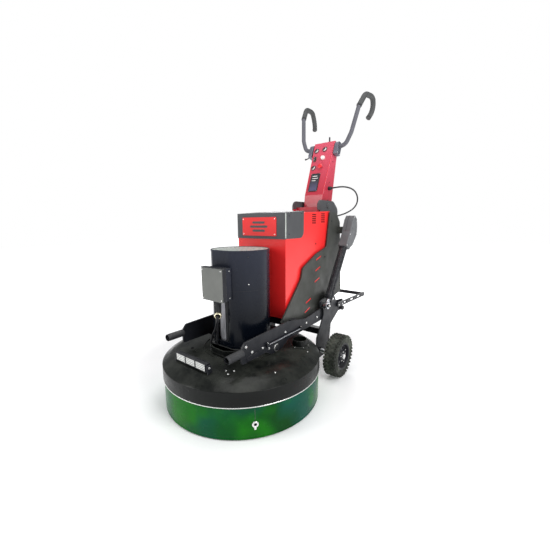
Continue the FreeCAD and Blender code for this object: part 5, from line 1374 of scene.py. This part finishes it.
def make_lever():
    _, y, z = LEVER_PIVOT
    arm = lathe([(4.2, 0), (9, 0), (9, 8), (8, 9), (4.2, 9)], facing(-X, -112.6, y, z), 28, True)
    path = [LEVER_PIVOT + Vector(step) for step in LEVER_STEPS]
    sweep(path, 4.0, 16, arm)
    piece("lever_arm", arm, "hood", "lever", 0.0006, replaces=["clamp_lever"])
    angles = [math.radians(-75 + 25 * i) for i in range(7)]
    ball = [(0, -6.5), *((6.5 * math.cos(a), 6.5 * math.sin(a)) for a in angles), (0, 6.5)]
    piece("lever_knob", lathe(ball, facing(path[-1] - path[-2], *path[-1]), 24), "dark", "lever")
    pin = lathe([(4, 0), (4, 11), (7, 11), (7, 13), (0, 13)], facing(-X, -111, y, z), 24)
    piece("lever_screw", pin, "zinc", "console")


BAR_POINTS = ((84, BAR_Y, BAR_Z, 0), (152, BAR_Y, BAR_Z, 46), (186, 884, 1500, 90),
              (214, 926, 1666, 0))
GRIP_POINTS = ((214, 926, 1666, 0), (230, 988, 1754, 58), (239, 1088, 1763, 50),
               (242, 1138, 1702, 90), (215, 1090, 1630, 0))


def bent(points, side):
    """A bent tube's centre line: straight runs with tangent arcs between them."""
    return contour(8, *((side * x, *rest) for x, *rest in points))


def make_bars():
    for side, word in SIDES:
        body, path = "bar_" + word, bent(GRIP_POINTS, side)
        piece("steel_bar_" + word, sweep(bent(BAR_POINTS, side), 14, 32), "bar", body,
              replaces=["handlebar_" + word])
        piece("grip_sleeve_" + word, sweep(path, 17.4, 36), "grip", body, 0.003, 3,
              replaces=["grip_" + word])
        rings = lathes(*(([(14, low), (17.8, low), (18, low + 1), (18, low + 6), (17.8, low + 7),
                           (14, low + 7)], facing(ahead, *at), 36, True)
                         for at, ahead, low in ((path[0], path[1] - path[0], 0.5),
                                                (path[-1], path[-1] - path[-2], -7.5))))
        piece("grip_collars_" + word, rings, "dark", body)


def make_console_gland():
    base = facing(X, 70, 798, 1139)
    nut = lathes((rod(14, 0, 18), base, 6),
                 ([(12.4, 16), (12.4, 22), (10, 27), (5.3, 28.6), (5.3, 16)], base, 28))
    piece("cord_nut", nut, "dark", "console", 0.0008, replaces=["console_gland"])


CORD_POINTS = ((99.8, 798, 1140), (136, 801, 1144), (170, 832, 1147), (193, 884, 1141),
               (205, 938, 1124), (209, 978, 1086), (205, 980, 1040), (192, 946, 1003),
               (170, 890, 975), (147, 824, 957), (134, 762, 950), (130, 706, 944),
               (130, 651, 936))
CORD_THICK, CORD_LENGTH = 0.010, 0.657


def make_cord():
    """The console's cable, running from the console's gland to the cord entry on the cabinet,
    carried with the chassis.
    """
    curve = bpy.data.curves.new("console_cord", "CURVE")
    curve.dimensions = "3D"
    spline = curve.splines.new("NURBS")
    spline.points.add(len(CORD_POINTS) - 1)
    for point, at in zip(spline.points, CORD_POINTS):
        point.co = (*mm(*at), 1.0)
    spline.order_u = 3
    spline.use_endpoint_u = True
    spline.resolution_u = 12
    curve.bevel_depth = CORD_THICK / 2
    curve.bevel_resolution = 6
    curve.use_fill_caps = True
    item = put("console_cord", curve)
    item.data.materials.append(LOOKS["cable"])
    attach(item, "chassis")
    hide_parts("console_cable")


for make in (make_cover, make_port, make_skirt, make_cover_details, make_light, make_shroud,
             make_grille, make_terminal_box, make_gland, make_motor_lead, make_motor,
             make_grinding_gear, make_cabinet, make_badge, make_plates, make_chassis_bolts,
             make_arm_details, make_cabinet_back, make_actuator):
    make()
for which in SIDES:
    make_wheel(*which)
for make in (make_console_shell, make_display, make_controls, make_aerial, make_clamps,
             make_lever, make_bars, make_console_gland, make_cord):
    make()
